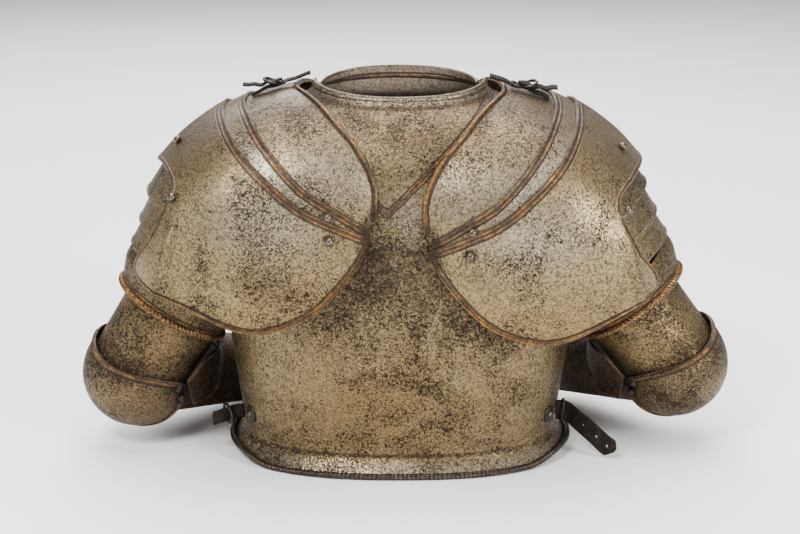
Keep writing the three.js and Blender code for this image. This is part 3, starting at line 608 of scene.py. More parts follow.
def finish_iron(name, mesh, nodes=()):
    finish_piece(name, mesh, made_of("buckle_iron"), "body", nodes)


def distance_to(points, line, chunk=4000):
    """How far each point is from the nearest of the line's points, in mm."""
    flat = points.reshape(-1, 3)
    parts = [np.linalg.norm(flat[i:i + chunk, None] - line[None], axis=-1).min(axis=1)
             for i in range(0, len(flat), chunk)]
    return np.concatenate(parts).reshape(points.shape[:-1])


def dense(line, count=400):
    """The same polyline with many more points, evenly along it."""
    line = np.asarray(line, float)
    walk = np.concatenate(([0], np.cumsum(np.linalg.norm(np.diff(line, axis=0), axis=1))))
    at = np.linspace(0, walk[-1], count)
    return np.stack([np.interp(at, walk, line[:, k]) for k in range(3)], 1)


MARKS = ("band", "rim", "stain", "dark", "worn", "warm", "inner", "pitted")


def build_plate(name, point, columns, start, middle, end, place, marks, body, nodes,
                material=None, span=(0.0, 1.0), dents=0.35, wraps=False, inside=None,
                end_share=None, relief=None):
    """One plate, its marks for the patina and for the painted light and shade, and its place in
    the frame.
    """
    wall = sizes().wall / MM
    outer, normal, lift = plate_grid(point, columns, start, middle, end, span, wraps,
                                     end_share)
    if np.sum((outer - inside) * normal) < 0:
        normal = -normal
    outer = outer + normal * hammered(outer, dents)[..., None]
    if relief:
        outer = outer + normal * relief(outer)[..., None]
    surface = outer + normal * lift[..., None]
    back = outer - normal * wall
    values = {**marks(surface), "inner_inside": 1.0}
    mesh = shell_mesh(name, place(surface), place(back), wraps)
    for mark in MARKS:
        front = np.broadcast_to(values.get(mark, NO_MARK if mark in ("band", "rim") else 0),
                                outer.shape[:2])
        plain = NO_MARK if mark in ("band", "rim") else 0
        behind = np.broadcast_to(values.get(mark + "_inside", plain), front.shape)
        add_mark(mesh, mark, np.concatenate((front.ravel(), behind.ravel())))
    finish_piece(name, mesh, material or made_of("plate_steel"), body, nodes)
    return surface


# ------------------------------------------------------------------ materials
class Nodes:
    """Short calls that add and link nodes in a tree."""

    def __init__(self, tree):
        self.tree = tree
        self.tree.nodes.clear()

    def add(self, kind, inputs=(), **settings):
        node = self.tree.nodes.new(kind)
        for key, value in settings.items():
            setattr(node, key, value)
        for key, value in dict(inputs).items():
            if isinstance(value, bpy.types.NodeSocket):
                self.tree.links.new(value, node.inputs[key])
            else:
                node.inputs[key].default_value = value
        return node

    def noise(self, vector, scale, detail=3.0, roughness=0.6, distortion=0.0):
        return self.add("ShaderNodeTexNoise", {
            "Vector": vector, "Scale": scale, "Detail": detail, "Roughness": roughness,
            "Distortion": distortion}).outputs["Fac"]

    def steps(self, value, low, high, out_low=0.0, out_high=1.0):
        return self.add("ShaderNodeMapRange", {
            "Value": value, "From Min": low, "From Max": high, "To Min": out_low,
            "To Max": out_high}, interpolation_type="SMOOTHSTEP").outputs["Result"]

    def math(self, operation, a, b=0.0, clamp=False):
        return self.add("ShaderNodeMath", {0: a, 1: b}, operation=operation,
                        use_clamp=clamp).outputs[0]

    def plus(self, a, b, clamp=False):
        return self.math("ADD", a, b, clamp)

    def minus(self, a, b):
        return self.math("SUBTRACT", a, b)

    def times(self, a, b):
        return self.math("MULTIPLY", a, b)

    def most(self, a, b):
        return self.math("MAXIMUM", a, b)

    def blend(self, factor, a, b):
        return self.add("ShaderNodeMix", {0: factor, 6: a, 7: b}, data_type="RGBA").outputs[2]

    def mark(self, name):
        return self.add("ShaderNodeAttribute", attribute_name=name).outputs["Fac"]

    def ramp(self, factor, stops):
        node = self.add("ShaderNodeValToRGB", {"Fac": factor})
        elements = node.color_ramp.elements
        while len(elements) < len(stops):
            elements.new(0.5)
        for element, (position, colour) in zip(elements, stops):
            element.position = position
            element.color = colour
        return node.outputs["Color"], node.outputs["Alpha"]

    def bump(self, height, strength, distance):
        return self.add("ShaderNodeBump", {"Height": height, "Strength": strength,
                                           "Distance": distance}).outputs[0]

    def end_material(self, inputs):
        """Ends a material in one surface shader."""
        surface = self.add("ShaderNodeBsdfPrincipled", inputs)
        self.add("ShaderNodeOutputMaterial", {0: surface.outputs[0]})

    def end_tree(self, geometry, given):
        """Ends a geometry tree in Realize Instances and Set Material."""
        real = self.add("GeometryNodeRealizeInstances", {0: geometry})
        paint = self.add("GeometryNodeSetMaterial", {
            "Geometry": real.outputs[0], "Material": given["Material"]})
        self.add("NodeGroupOutput", {0: paint.outputs[0]})
        return self.tree


def start_material(name):
    """An empty material, its nodes and the place that its textures are read at."""
    material = bpy.data.materials.new(name)
    material.use_nodes = True
    nodes = Nodes(material.node_tree)
    return material, nodes, nodes.add("ShaderNodeTexCoord").outputs["Object"]


TRIM_SPAN = 12.0                  # mm over which the trim ramps run


def trim_ramp(nodes, distance, lines):
    """Trim along an edge: alpha says where it is, colour how gilt it is."""
    factor = nodes.math("DIVIDE", distance, TRIM_SPAN, clamp=True)
    stops = [(at / TRIM_SPAN, (gilt, gilt, gilt, alpha)) for at, gilt, alpha in lines]
    return nodes.ramp(factor, stops)


# Rows of distance from the edge in mm, how gilt the trim is, and how strongly it shows. The dark
# first rows, up to 1.3 mm from the edge, are a painted shadow along the plate's edge.
BAND_LINES = ((0, 0.05, 1), (1.3, 0.05, 1), (1.7, 0.9, 1), (2.6, 0.9, 1), (3.1, 0.15, 1),
              (5.2, 0.25, 1), (5.8, 1, 1), (6.9, 1, 1), (7.3, 0, 1), (8.4, 0, 1), (9.4, 0, 0))
RIM_LINES = ((0, 0.1, 1), (0.7, 0.5, 1), (1.6, 0.95, 1), (3.4, 0.9, 1), (4.4, 0.45, 1),
             (4.9, 0, 1), (6.2, 0, 1), (7.4, 0, 0))

# Scale, detail, roughness and distortion of each noise in the patina.
PATINA = {
    "broad": (9, 5, 0.6, 0.5), "patch": (34, 6, 0.68, 0.3), "mottle": (380, 7, 0.8),
    "fine": (600, 5, 0.78), "density": (17, 5, 0.62, 0.6), "fleck": (300, 7, 0.75),
    "blot": (75, 8, 0.74, 0.4), "wear": (70, 6, 0.75), "ragged": (330, 6, 0.75),
}
PIT_SCALE = 470                   # cells to the metre
PIT_DEPTH = 0.6 * MM


def plate_material(name, brownness, darkness, speckle, rough):
    """Pitted, stained steel with gilt bands and rims, read from the marks of each plate."""
    tone = colours()
    material, nodes, place = start_material(name)
    plus, minus, times, most = nodes.plus, nodes.minus, nodes.times, nodes.most
    steps, blend = nodes.steps, nodes.blend
    broad, patch, mottle, fine, density, fleck, blot, wear, ragged = (
        nodes.noise(place, *row) for row in PATINA.values())
    stain, dark, worn, warm, inner, pitted = (nodes.mark(mark) for mark in MARKS[2:])

    base = blend(steps(mottle, 0.41, 0.56), tone.shade, tone.steel)
    rust = plus(steps(broad, 0.5, 0.7, 0, 0.55), brownness)
    rust = plus(rust, times(warm, 0.5), True)
    base = blend(rust, base, blend(steps(mottle, 0.4, 0.6), tone.brown, tone.copper))
    base = blend(times(stain, steps(patch, 0.34, 0.6, 0.2, 0.85)), base, tone.ochre)
    # Silver patches: rubbed wear along rims and edges, and a painted highlight across the middle
    # of each shoulder.
    base = blend(times(worn, steps(mottle, 0.42, 0.56, 0.15, 0.9)), base, tone.silver)
    # Painted light on the inner face of the breastplate's collar, where the inner and warm marks
    # meet: a pale copper and silver colour that stands in for light falling into the collar.
    lit = blend(0.8, tone.copper, tone.silver)
    base = blend(times(inner, times(warm, 0.9)), base,
                 blend(steps(mottle, 0.4, 0.6), tone.copper, lit))

    # Corrosion: fine specks everywhere, ragged flecks and blots where they crowd together.
    crowd = steps(density, 0.36, 0.68, 0, 0.09 * speckle)
    # Fewer specks under the painted light inside the collar.
    crowd = minus(crowd, times(times(inner, warm), 0.09))
    crowd = plus(crowd, times(most(dark, pitted), 0.085))
    cell = nodes.add("ShaderNodeTexVoronoi", {"Vector": place, "Scale": PIT_SCALE}).outputs[0]
    cell = minus(minus(cell, times(crowd, 2.2)), times(patch, 0.55))
    specks = most(steps(cell, 0.06, -0.1, 0, 0.85),
                  steps(plus(fine, crowd), 0.54, 0.66, 0, 0.6))
    flecks = steps(plus(fleck, crowd), 0.605, 0.635, 0, 0.88)
    blots = steps(plus(blot, times(crowd, 0.8)), 0.66, 0.71, 0, 0.6)
    pits = most(most(specks, flecks), blots)
    base = blend(specks, base, blend(0.55, tone.pit, tone.shade))
    base = blend(most(flecks, blots), base, tone.pit)
    # Darker where the dark marks and the plate's darkness say: grime and patina in places, and
    # painted shade in others, such as the middle and sides of the back, one side of the wing
    # crease, and the darkest steel of the couter wings and forearm tubes.
    grime_and_shade = times(plus(times(dark, 0.8), darkness, True), steps(mottle, 0.3, 0.62, 1, 0.72))
    base = blend(grime_and_shade, base, blend(0.5, tone.pit, tone.brown))

    # Gilt trim, rubbed through to its dark ground.
    wobble = times(minus(patch, 0.5), 1.4)
    kept = times(steps(wear, 0.38, 0.62, 0.3, 1), steps(ragged, 0.38, 0.56, 0.25, 1))
    kept = times(kept, steps(dark, 0.2, 1, 1, 0.1))
    ground = blend(steps(ragged, 0.4, 0.6, 0.2, 0.75), tone.pit, tone.band)
    gold = blend(plus(steps(wear, 0.47, 0.62), times(stain, 0.8), True), tone.copper, tone.gilt)
    relief = 0.0
    for mark, lines in (("band", BAND_LINES), ("rim", RIM_LINES)):
        gilding, shown = trim_ramp(nodes, plus(nodes.mark(mark), wobble), lines)
        base = blend(times(shown, 0.94), base, blend(times(gilding, kept), ground, gold))
        relief = plus(times(shown, minus(gilding, 0.4)), relief)

    height = minus(plus(times(fine, 0.3), times(mottle, 0.5)), times(pits, 0.7))
    height = plus(height, times(relief, 1.4))
    nodes.end_material({
        "Base Color": base, "Metallic": minus(0.88, times(inner, 0.7)),
        "Roughness": plus(steps(mottle, 0.3, 0.7, rough + 0.1, rough - 0.05),
                          times(pits, 0.3), True),
        "Normal": nodes.bump(height, 0.75, PIT_DEPTH)})
    return material


def iron_material(name, light, dark, rough):
    """Dark or rubbed iron for rivets, buckles and roped rims."""
    material, nodes, place = start_material(name)
    grain = nodes.noise(place, 480, 4, 0.65)
    patch = nodes.noise(place, 70, 3, 0.6)
    base = nodes.blend(nodes.steps(grain, 0.38, 0.62), dark, light)
    base = nodes.blend(nodes.steps(patch, 0.45, 0.7, 0, 0.6), base, colours().brown)
    nodes.end_material({
        "Base Color": base, "Metallic": 0.75,
        "Roughness": nodes.steps(grain, 0.3, 0.7, rough + 0.12, rough - 0.05),
        "Normal": nodes.bump(grain, 0.4, 0.0004)})
    return material


def leather_material(name):
    """Old strap leather, creased and nearly black."""
    material, nodes, place = start_material(name)
    grain = nodes.add("ShaderNodeTexVoronoi", {"Vector": place, "Scale": 900}).outputs["Distance"]
    crease = nodes.noise(place, 160, 5, 0.7, 0.6)
    base = nodes.blend(nodes.steps(crease, 0.45, 0.68), colours().leather,
                       (0.022, 0.016, 0.012, 1))
    height = nodes.plus(nodes.times(grain, 0.5), crease)
    nodes.end_material({
        "Base Color": base, "Roughness": nodes.steps(crease, 0.3, 0.7, 0.9, 0.65),
        "Specular IOR Level": 0.1, "Normal": nodes.bump(height, 0.5, 0.0005)})
    return material


def floor_material(name):
    """Pale paper for the studio floor."""
    material, nodes, place = start_material(name)
    tone = nodes.blend(nodes.noise(place, 3, 2), (0.9, 0.9, 0.9, 1), (0.94, 0.94, 0.94, 1))
    nodes.end_material({"Base Color": tone, "Roughness": 0.85})
    return material


# Brownness, darkness, speckle and roughness of each kind of plate. The darkest kind is painted
# shade: the same steel made darker for the couter wings and forearm tubes, which sit in shadow.
PLATES = {
    "plate_steel": (0.0, 0.0, 1.0, 0.31), "brown_steel": (0.28, 0.1, 1.1, 0.38),
    "shaded_steel": (0.5, 0.45, 1.2, 0.42),
}
# Light places, dark places and roughness of each iron.
IRONS = {
    "rope_steel": ((0.2, 0.155, 0.105, 1), (0.035, 0.026, 0.019, 1), 0.36),
    "dark_rope": ((0.06, 0.046, 0.033, 1), (0.009, 0.007, 0.006, 1), 0.34),
    "gilt_rope": ((0.25, 0.125, 0.038, 1), (0.03, 0.018, 0.011, 1), 0.38),
    "rivet_iron": ((0.15, 0.12, 0.085, 1), (0.045, 0.034, 0.024, 1), 0.22),
    "buckle_iron": ((0.04, 0.032, 0.027, 1), (0.01, 0.008, 0.007, 1), 0.42),
}


def made_of(name):
    """The material of that name, made the first time it is asked for."""
    if name in bpy.data.materials:
        return bpy.data.materials[name]
    if name in PLATES:
        return plate_material(name, *PLATES[name])
    if name in IRONS:
        return iron_material(name, *IRONS[name])
    return leather_material(name)


# ------------------------------------------------------------------ marks
def band_lines(surface, *edges):
    return np.min([distance_to(surface, dense(edge)) for edge in edges], axis=0)


def around(surface, spots, reach):
    """1 at the spots, falling to 0 at reach mm from them."""
    if not len(spots):
        return 0
    return 1 - smoothstep(distance_to(surface, np.array(spots)), reach * 0.35, reach)


def line_on(points, corners):
    """Distance, seen from behind, from points to a polyline of corners given as x and z."""
    flat = points[..., [0, 2]]
    best = np.full(points.shape[:-1], 1e9)
    for a, b in zip(corners[:-1], corners[1:]):
        a, b = np.array(a, float), np.array(b, float)
        t = np.clip(((flat - a) @ (b - a)) / np.dot(b - a, b - a), 0, 1)
        best = np.minimum(best, np.linalg.norm(flat - a - t[..., None] * (b - a), axis=-1))
    return best


def back_marks(surface):
    """Marks of the back: gilt V, a dark line along the crease over the flange, pitted middle,
    rubbed rims, and painted shade over the middle, the upper back and the sides.
    """
    x, z = surface[..., 0], surface[..., 2]
    rim = distance_to(surface, surface[-1])
    flange = distance_to(surface, surface[0])
    v_band = line_on(surface, (BACK_BAND_TOPS[0], BACK_BAND_POINT, BACK_BAND_TOPS[1]))
    # Painted shade: darkest across the middle of the back between the shoulders, a little over the
    # whole back, and more over the upper back below the shoulders.
    under = 0.45 * hump((z, 215, 42), (x, 0, 75)) + 0.2 + 0.16 * smoothstep(z, 285, 320)
    pitted = hump((z, 222, 50), (x, 0, 80)) + 0.4 * hump((z, 150, 60), (x, -30, 90))
    # Painted shade towards both sides of the back, where the plate turns away.
    sides = smoothstep(np.abs(x), 120, 165) * 0.25
    neck_line = hump((rim, 12, 2.5)) * 0.8
    stain = hump((x, 12, 100), (z, 60, 62)) * 0.6 + 0.25 * hump((z, 100, 80))
    worn = (0.6 * (1 - smoothstep(rim, 5, 12)) + 0.45 * (1 - smoothstep(flange, 14, 20))
            + 0.5 * hump((x, -12, 18), (z, 262, 25)))
    # Dark: a thin line along the crease over the flange, the painted shade above, and a line below
    # the neck rim.
    dark = hump((z, CREASE_Z, 1.1)) * 0.95 + under + sides + neck_line
    return {"band": BACK_BAND_START + BACK_BAND_NARROWING * v_band,
            "warm": smoothstep(z, 280, 330) * 0.7, "pitted": np.clip(pitted, 0, 1),
            "dark": np.clip(dark, 0, 1), "stain": np.clip(stain, 0, 1),
            "worn": np.clip(worn, 0, 1), "dark_inside": 0.5}


def front_marks(surface):
    """Patina of the plain front, the gilt line inside its collar, and a painted light on the
    collar's inner face.
    """
    rim = distance_to(surface, surface[-1])
    z = surface[..., 2]
    inner_band = np.where(rim < 40, np.abs(rim - 9) * 0.9 + 6.0, NO_MARK)
    return {"dark": hump((z, CREASE_Z, 1.1)) * 0.9, "stain": 0.3 * hump((z, 90, 80)),
            "worn": 0.6 * (1 - smoothstep(rim, 5, 14)),
            # warm_inside, with the inner mark, paints light onto the collar's inner face.
            "dark_inside": 0.3 * (1 - smoothstep(rim, 5, 8)), "warm_inside": 1.0,
            "band_inside": inner_band, "worn_inside": 0.4 * (1 - smoothstep(rim, 30, 50))}


# ------------------------------------------------------------------ body plates
def add_body_plates():
    rim = bead(sizes().rim_width / MM, BODY_RIM_RISE)
    climb = SHOULDER_Z + NECK_CLIMB
    for name, side, marks in (("backplate", "back", back_marks),
                              ("breastplate", "front", front_marks)):
        surface = build_plate(
            name + "_dressed", torso_plate(side), 190, [], 120, rim, place_body, marks, "body",
            (name,), span=(0.0, climb), inside=np.array((0, 0, 170.0)))
        thick = sizes().rope_radius / MM
        add_rope(f"{name}_neck_rope", place_body(surface[-1]), "body",
                 radius=NECK_ROPE_SHARE * sizes().rope_radius)
        hem = surface[0] * (1 + 0.8 / 140, 1 + 0.8 / 120, 1) + (0, 0, thick)
        add_rope(f"{name}_flange_rope", place_body(hem), "body", material=made_of("dark_rope"))


# ------------------------------------------------------------------ roped rims
def new_tree(name, inputs, result):
    """An empty tree with its named inputs, a material among them, and one result."""
    tree = bpy.data.node_groups.new(name, "GeometryNodeTree")
    for label, kind in (*inputs.items(), ("Material", "Material")):
        tree.interface.new_socket(label, in_out="INPUT", socket_type="NodeSocket" + kind)
    tree.interface.new_socket(result, in_out="OUTPUT", socket_type="NodeSocketGeometry")
    nodes = Nodes(tree)
    return nodes, nodes.add("NodeGroupInput").outputs


def rope_tree():
    """Follows a path with a lobed cord that twists once in every pitch."""
    if "Roped Rim" in bpy.data.node_groups:
        return bpy.data.node_groups["Roped Rim"]
    nodes, given = new_tree("Roped Rim", {
        "Path": "Geometry", "Radius": "Float", "Pitch": "Float", "Step": "Float",
        "Lobe Depth": "Float"}, "Rope")
    path = nodes.add("GeometryNodeMeshToCurve", {"Mesh": given["Path"]})
    even = nodes.add("GeometryNodeResampleCurve", {
        "Curve": path.outputs[0], "Length": given["Step"]}, mode="LENGTH")
    along = nodes.add("GeometryNodeSplineParameter").outputs["Length"]
    turns = nodes.math("DIVIDE", along, given["Pitch"])
    tilt = nodes.add("GeometryNodeSetCurveTilt", {
        "Curve": even.outputs[0], "Tilt": nodes.times(turns, 2 * math.pi)})
    circle = nodes.add("GeometryNodeCurvePrimitiveCircle", {
        "Resolution": ROPE_SIDES, "Radius": given["Radius"]})
    share = nodes.add("GeometryNodeSplineParameter").outputs["Factor"]
    wave = nodes.math("COSINE", nodes.times(share, 2 * math.pi * ROPE_LOBES))
    swell = nodes.add("ShaderNodeMath", {0: wave, 1: given["Lobe Depth"], 2: 1.0},
                      operation="MULTIPLY_ADD")
    place = nodes.add("GeometryNodeInputPosition").outputs[0]
    lobed = nodes.add("ShaderNodeVectorMath", {0: place, "Scale": swell.outputs[0]},
                      operation="SCALE")
    profile = nodes.add("GeometryNodeSetPosition", {
        "Geometry": circle.outputs[0], "Position": lobed.outputs[0]})
    tube = nodes.add("GeometryNodeCurveToMesh", {
        "Curve": tilt.outputs[0], "Profile Curve": profile.outputs[0], "Fill Caps": True})
    return nodes.end_tree(tube.outputs[0], given)


def bake_tree(name, mesh, tree, inputs):
    """Runs a node tree on a mesh and returns the plain mesh that it makes."""
    carrier = bpy.data.objects.new(name + "_carrier", mesh)
    bpy.context.scene.collection.objects.link(carrier)
    modifier = carrier.modifiers.new("Nodes", "NODES")
    modifier.node_group = tree
    for item in tree.interface.items_tree:
        if item.in_out == "INPUT" and item.name in inputs:
            modifier[item.identifier] = inputs[item.name]
    graph = bpy.context.evaluated_depsgraph_get()
    baked = bpy.data.meshes.new_from_object(carrier.evaluated_get(graph), depsgraph=graph)
    baked.name = name
    carrier.modifiers.remove(modifier)
    bpy.data.objects.remove(carrier)
    return baked


def path_mesh(name, line, closed=False):
    mesh = bpy.data.meshes.new(name + "_path")
    count = len(line)
    edges = [(i, i + 1) for i in range(count - 1)]
    if closed:
        edges.append((count - 1, 0))
    mesh.from_pydata((line * MM).tolist(), edges, [])
    return mesh


def add_rope(name, line, body, closed=False, radius=None, material=None):
    """A roped rim along a line, on one body."""
    pitch = sizes().rope_pitch
    material = material or made_of("rope_steel")
    mesh = bake_tree(name, path_mesh(name, line, closed), rope_tree(), {
        "Radius": radius or sizes().rope_radius, "Pitch": pitch, "Step": pitch / ROPE_STEPS,
        "Lobe Depth": ROPE_LOBE_DEPTH, "Material": material})
    mesh.shade_smooth()
    finish_piece(name, mesh, material, body)


# ------------------------------------------------------------------ pauldrons
def pauldron_spots(*names):
    return [on_pauldron(np.array(PAULDRON_RIVETS[n][0], float), PAULDRON_RIVETS[n][1] * LAYER)
            for n in names]


RIM_GILDING = {"left": 0.2, "right": 1.0}    # how bright the gilding of each neck edge is


def shoulder_warmth(surface):
    """The reddish bloom of the upper and outer parts of a shoulder."""
    x, z = surface[..., 0], surface[..., 2]
    return np.clip(smoothstep(z, 285, 350) + 0.5 * smoothstep(x, 190, 240), 0, 1)


def neck_plate_marks(surface, gilding):
    z = surface[..., 2]
    tip = 1 - smoothstep(distance_to(surface, surface[:, 0]), 5, 16)
    rim = distance_to(surface, dense(surface[0]))
    gilt_rim = gilding * (1 - smoothstep(rim, 4, 10))
    # The silver patch near 300 mm up is a painted highlight.
    return {"rim": rim, "worn": 0.4 * hump((z, 300, 28)), "stain": gilt_rim,
            "warm": shoulder_warmth(surface),
            "dark": np.clip(0.2 * smoothstep(z, 335, 372) + 0.8 * tip, 0, 1)}


def middle_lame_marks(surface):
    ends = distance_to(surface, surface[:, 0])
    z = surface[..., 2]
    return {"band": distance_to(surface, dense(surface[0])),
            # The silver band near 305 mm up is a painted highlight.
            "worn": 0.8 * hump((z, 305, 28)), "warm": shoulder_warmth(surface),
            "dark": np.clip(around(surface, pauldron_spots("rivet_middle"), 8)
                            + 1 - smoothstep(ends, 6, 14), 0, 1)}


def wing_rim_share(u):
    """How strongly the main plate's edge is rolled: least along the outer edge of the wing."""
    return 1 - 0.75 * smoothstep(u, 0.2, 0.33) * (1 - smoothstep(u, 0.76, 0.86))


def wing_fold(surface):
    """A soft crease that runs down the plate near the tip of the wing."""
    across = line_on(surface, WING_FOLD)
    return np.where(surface[..., 1] > 0, 1.5 * hump((across, 0, 6)), 0)


def main_plate_marks(surface):
    x, z = surface[..., 0], surface[..., 2]
    roll = wing_rim_share(np.linspace(0, 1, surface.shape[1]))
    spots = pauldron_spots("rivet_back", "rivet_wing", "rivet_top")
    ends = distance_to(surface, surface[:, 0])
    fold = line_on(surface, WING_FOLD)
    behind = surface[..., 1] > 0
    # A painted shade on one side of the wing's crease, 4 mm off its line.
    crease = np.where(behind, hump((fold, 4, 2.5)), 0) * 0.35
    # A painted highlight: a silver patch on the upper middle of the plate.
    worn = 0.6 * hump((x, 125, 50), (z, 262, 30))
    stain = 0.55 * hump((z, 165, 34)) + 0.12
    dark = (around(surface, spots, 9) + crease + 0.35 * smoothstep(z, 300, 360)
            + 1 - smoothstep(ends, 6, 18))
    return {"band": distance_to(surface, dense(surface[0])),
            "rim": distance_to(surface, dense(surface[-1])) / (0.3 + 0.7 * roll),
            "worn": worn, "stain": stain, "warm": shoulder_warmth(surface),
            "dark": np.clip(dark, 0, 1)}


def add_pauldrons():
    rolled = bead(sizes().rim_width / MM, sizes().rim_rise / MM)
    ridge = bead(*RIDGE)
    half_way = mid_line(FIRST_LINE, SECOND_LINE, 0.5)
    past = mid_line(FIRST_LINE, SECOND_LINE, 1.5)
    for side in SIDES:
        for name, point, start, middle, end, marks in (
                ("pauldron_neck_plate", pauldron_plate(INNER_EDGE, half_way, 0), rolled, 26, [],
                 lambda surface, side=side: neck_plate_marks(surface, RIM_GILDING[side])),
                ("pauldron_middle_lame", pauldron_plate(FIRST_LINE, past, 1), ridge, 12, [],
                 middle_lame_marks),
                ("pauldron_main_plate", pauldron_plate(
                    SECOND_LINE, LOWER_EDGE + WING_EDGE[side] + FRONT_EDGE, 2, wing_share),
                 ridge, 64, rolled, main_plate_marks)):
            build_plate(f"{name}_{side}_dressed", point, 230, start, middle, end,
                        place_pauldron(side), marks, "body", (f"{name}_{side}",),
                        inside=PAULDRON - (0, 0, 60),
                        end_share=wing_rim_share if end else None,
                        relief=wing_fold if end else None)


# ------------------------------------------------------------------ arms
def lame_spot(side, name):
    rows = ARM_LAMES[name][1]
    height = np.array(rows[0][0] + LAME_RIVET_UP)
    return about_arm(side, rows, np.array(math.radians(LAME_RIVET_ANGLE)), height)


def arm_inside(side, height):
    return elbow_place(side) + elbow_frame(side)["up"] * height


def add_arm_lames():
    rolled = bead(*LAME_RIM)
    for side in SIDES:
        for name in ARM_LAMES:
            def marks(surface, side=side, name=name):
                spot = lame_spot(side, name)
                return {"dark": np.clip(0.25 + around(surface, [spot], 8), 0, 1), "worn": 0.15,
                        "stain": 0.25, "dark_inside": 0.6}
            build_plate(f"{name}_{side}_dressed", arm_lame(side, name), 110, rolled, 16, [],
                        place_arm(side), marks, "body", (f"{name}_{side}",),
                        inside=arm_inside(side, 150), dents=0.2)

        def ring_marks(surface):
            return {"band": distance_to(surface, dense(surface[0])) * 0.75, "dark": 0.4,
                    "stain": 0.5, "dark_inside": 0.6}
        surface = build_plate(
            f"turner_{side}_dressed", turner_ring(side), 120, rolled, 16, [], place_arm(side),
            ring_marks, "body", (f"turner_{side}",), inside=arm_inside(side, 95), dents=0.2,
            wraps=True, material=made_of("brown_steel"))
        line = surface[0] + elbow_frame(side)["up"] * TURNER_ROPE_LIFT
        add_rope(f"turner_rope_{side}", place_arm(side)(line), "body", closed=True,
                 radius=TURNER_ROPE_SHARE * sizes().rope_radius, material=made_of("gilt_rope"))


def add_cannons():
    rolled = bead(*ARM_RIM)
    for side in SIDES:
        def upper_marks(surface):
            edges = band_lines(surface, surface[0], surface[-1])
            return {"dark": 0.15 + 0.5 * (1 - smoothstep(edges, 8, 34)), "stain": 0.45,
                    "dark_inside": 0.8}
        build_plate(f"upper_cannon_{side}_dressed", cannon(side, "up", "up_out", UPPER_CANNON),
                    110, [], 26, [], place_arm(side), upper_marks, "body",
                    (f"upper_cannon_{side}",), material=made_of("brown_steel"), dents=0.15,
                    inside=arm_inside(side, 60), wraps=True)

        def lower_marks(surface):
            return {"dark": 0.4, "rim": distance_to(surface, dense(surface[-1])),
                    "dark_inside": 0.9}
        inside = elbow_place(side) + elbow_frame(side)["fore"] * 110
        # The forearm tube takes the darkest steel, a painted shade.
        build_plate(f"lower_cannon_{side}_dressed",
                    cannon(side, "fore", "fore_out", LOWER_CANNON), 110, [], 40, rolled,
                    place_arm(side), lower_marks, f"forearm_{side}", (f"lower_cannon_{side}",),
                    material=made_of("shaded_steel"), dents=0.2, inside=inside, wraps=True)


def couter_spots(side):
    return [couter_point(side, np.array(math.radians(turn * PIVOT_ANGLE)), np.array(share))
            for turn in (1, -1) for share in PIVOT_SHARES]


def add_couters():
    rolled = bead(*ARM_RIM)
    for side in SIDES:
        def cap_marks(surface, side=side):
            rims = band_lines(surface, surface[0], surface[-1])
            return {"rim": rims, "dark": np.clip(
                0.42 + around(surface, couter_spots(side), 9), 0, 1), "stain": 0.25,
                "dark_inside": 0.7}
        build_plate(f"couter_{side}_dressed", couter(side), 110, rolled, 44, rolled,
                    place_arm(side), cap_marks, f"elbow_{side}", (f"couter_{side}",),
                    material=made_of("brown_steel"), dents=0.2, inside=elbow_place(side))

        def wing_marks(surface):
            return {"rim": band_lines(surface, surface[0], surface[-1]), "dark": 0.3,
                    "dark_inside": 0.8}
        # The couter wing takes the darkest steel, a painted shade.
        build_plate(f"couter_wing_{side}_dressed", couter_wing(side), 130, bead(*WING_RIM), 22,
                    bead(*WING_RIM), place_arm(side), wing_marks, f"elbow_{side}",
                    (f"couter_wing_{side}",), material=made_of("shaded_steel"), dents=0.2,
                    inside=elbow_place(side))


# ------------------------------------------------------------------ rivets
def rivet_tree():
    """Sets a domed head on every point, turned to the point's aim."""
    if "Domed Rivets" in bpy.data.node_groups:
        return bpy.data.node_groups["Domed Rivets"]
    nodes, given = new_tree("Domed Rivets", {
        "Points": "Geometry", "Head Radius": "Float", "Head Height": "Float"}, "Rivets")
    head = nodes.add("GeometryNodeMeshUVSphere", {
        "Segments": HEAD_SEGMENTS, "Rings": HEAD_RINGS, "Radius": given["Head Radius"]})
    flat = nodes.add("ShaderNodeCombineXYZ", {"X": 1, "Y": 1, "Z": given["Head Height"]})
    dome = nodes.add("GeometryNodeTransform", {
        "Geometry": head.outputs["Mesh"], "Scale": flat.outputs[0]})
    aim = nodes.add("GeometryNodeInputNamedAttribute", {"Name": "aim"},
                    data_type="FLOAT_VECTOR")
    turn = nodes.add("FunctionNodeAlignRotationToVector", {
        "Vector": aim.outputs["Attribute"]}, axis="Z")
    points = nodes.add("GeometryNodeMeshToPoints", {"Mesh": given["Points"]})
    heads = nodes.add("GeometryNodeInstanceOnPoints", {
        "Points": points.outputs[0], "Instance": dome.outputs[0],
        "Rotation": turn.outputs[0]})
    return nodes.end_tree(heads.outputs[0], given)


def aim_at(point, u, v, inside):
    """The outward direction of a surface at one place, by small steps."""
    step = 1e-3
    here = point(np.array(u), np.array(v))
    du = point(np.array(u + step), np.array(v)) - here
    dv = point(np.array(u), np.array(v + step)) - here
    aim = np.cross(du, dv)
    aim /= np.linalg.norm(aim)
    return aim if np.dot(here - inside, aim) > 0 else -aim


def add_rivets(name, places, place, body, nodes, radius=None, height=HEAD_HEIGHT, material=None):
    """Places are pairs of a point and a direction before placing."""
    material = material or made_of("rivet_iron")
    radius = radius or sizes().rivet_radius
    spots = np.array([spot for spot, _ in places])
    tips = np.array([spot + aim for spot, aim in places])
    mesh = bpy.data.meshes.new(name + "_points")
    mesh.from_pydata((place(spots) * MM).tolist(), [], [])
    layer = mesh.attributes.new("aim", "FLOAT_VECTOR", "POINT")
    layer.data.foreach_set("vector", (place(tips) - place(spots)).astype(np.float32).ravel())
    inputs = {"Head Radius": radius, "Head Height": height, "Material": material}
    baked = bake_tree(name, mesh, rivet_tree(), inputs)
    baked.shade_smooth()
    finish_piece(name, baked, material, body, nodes)


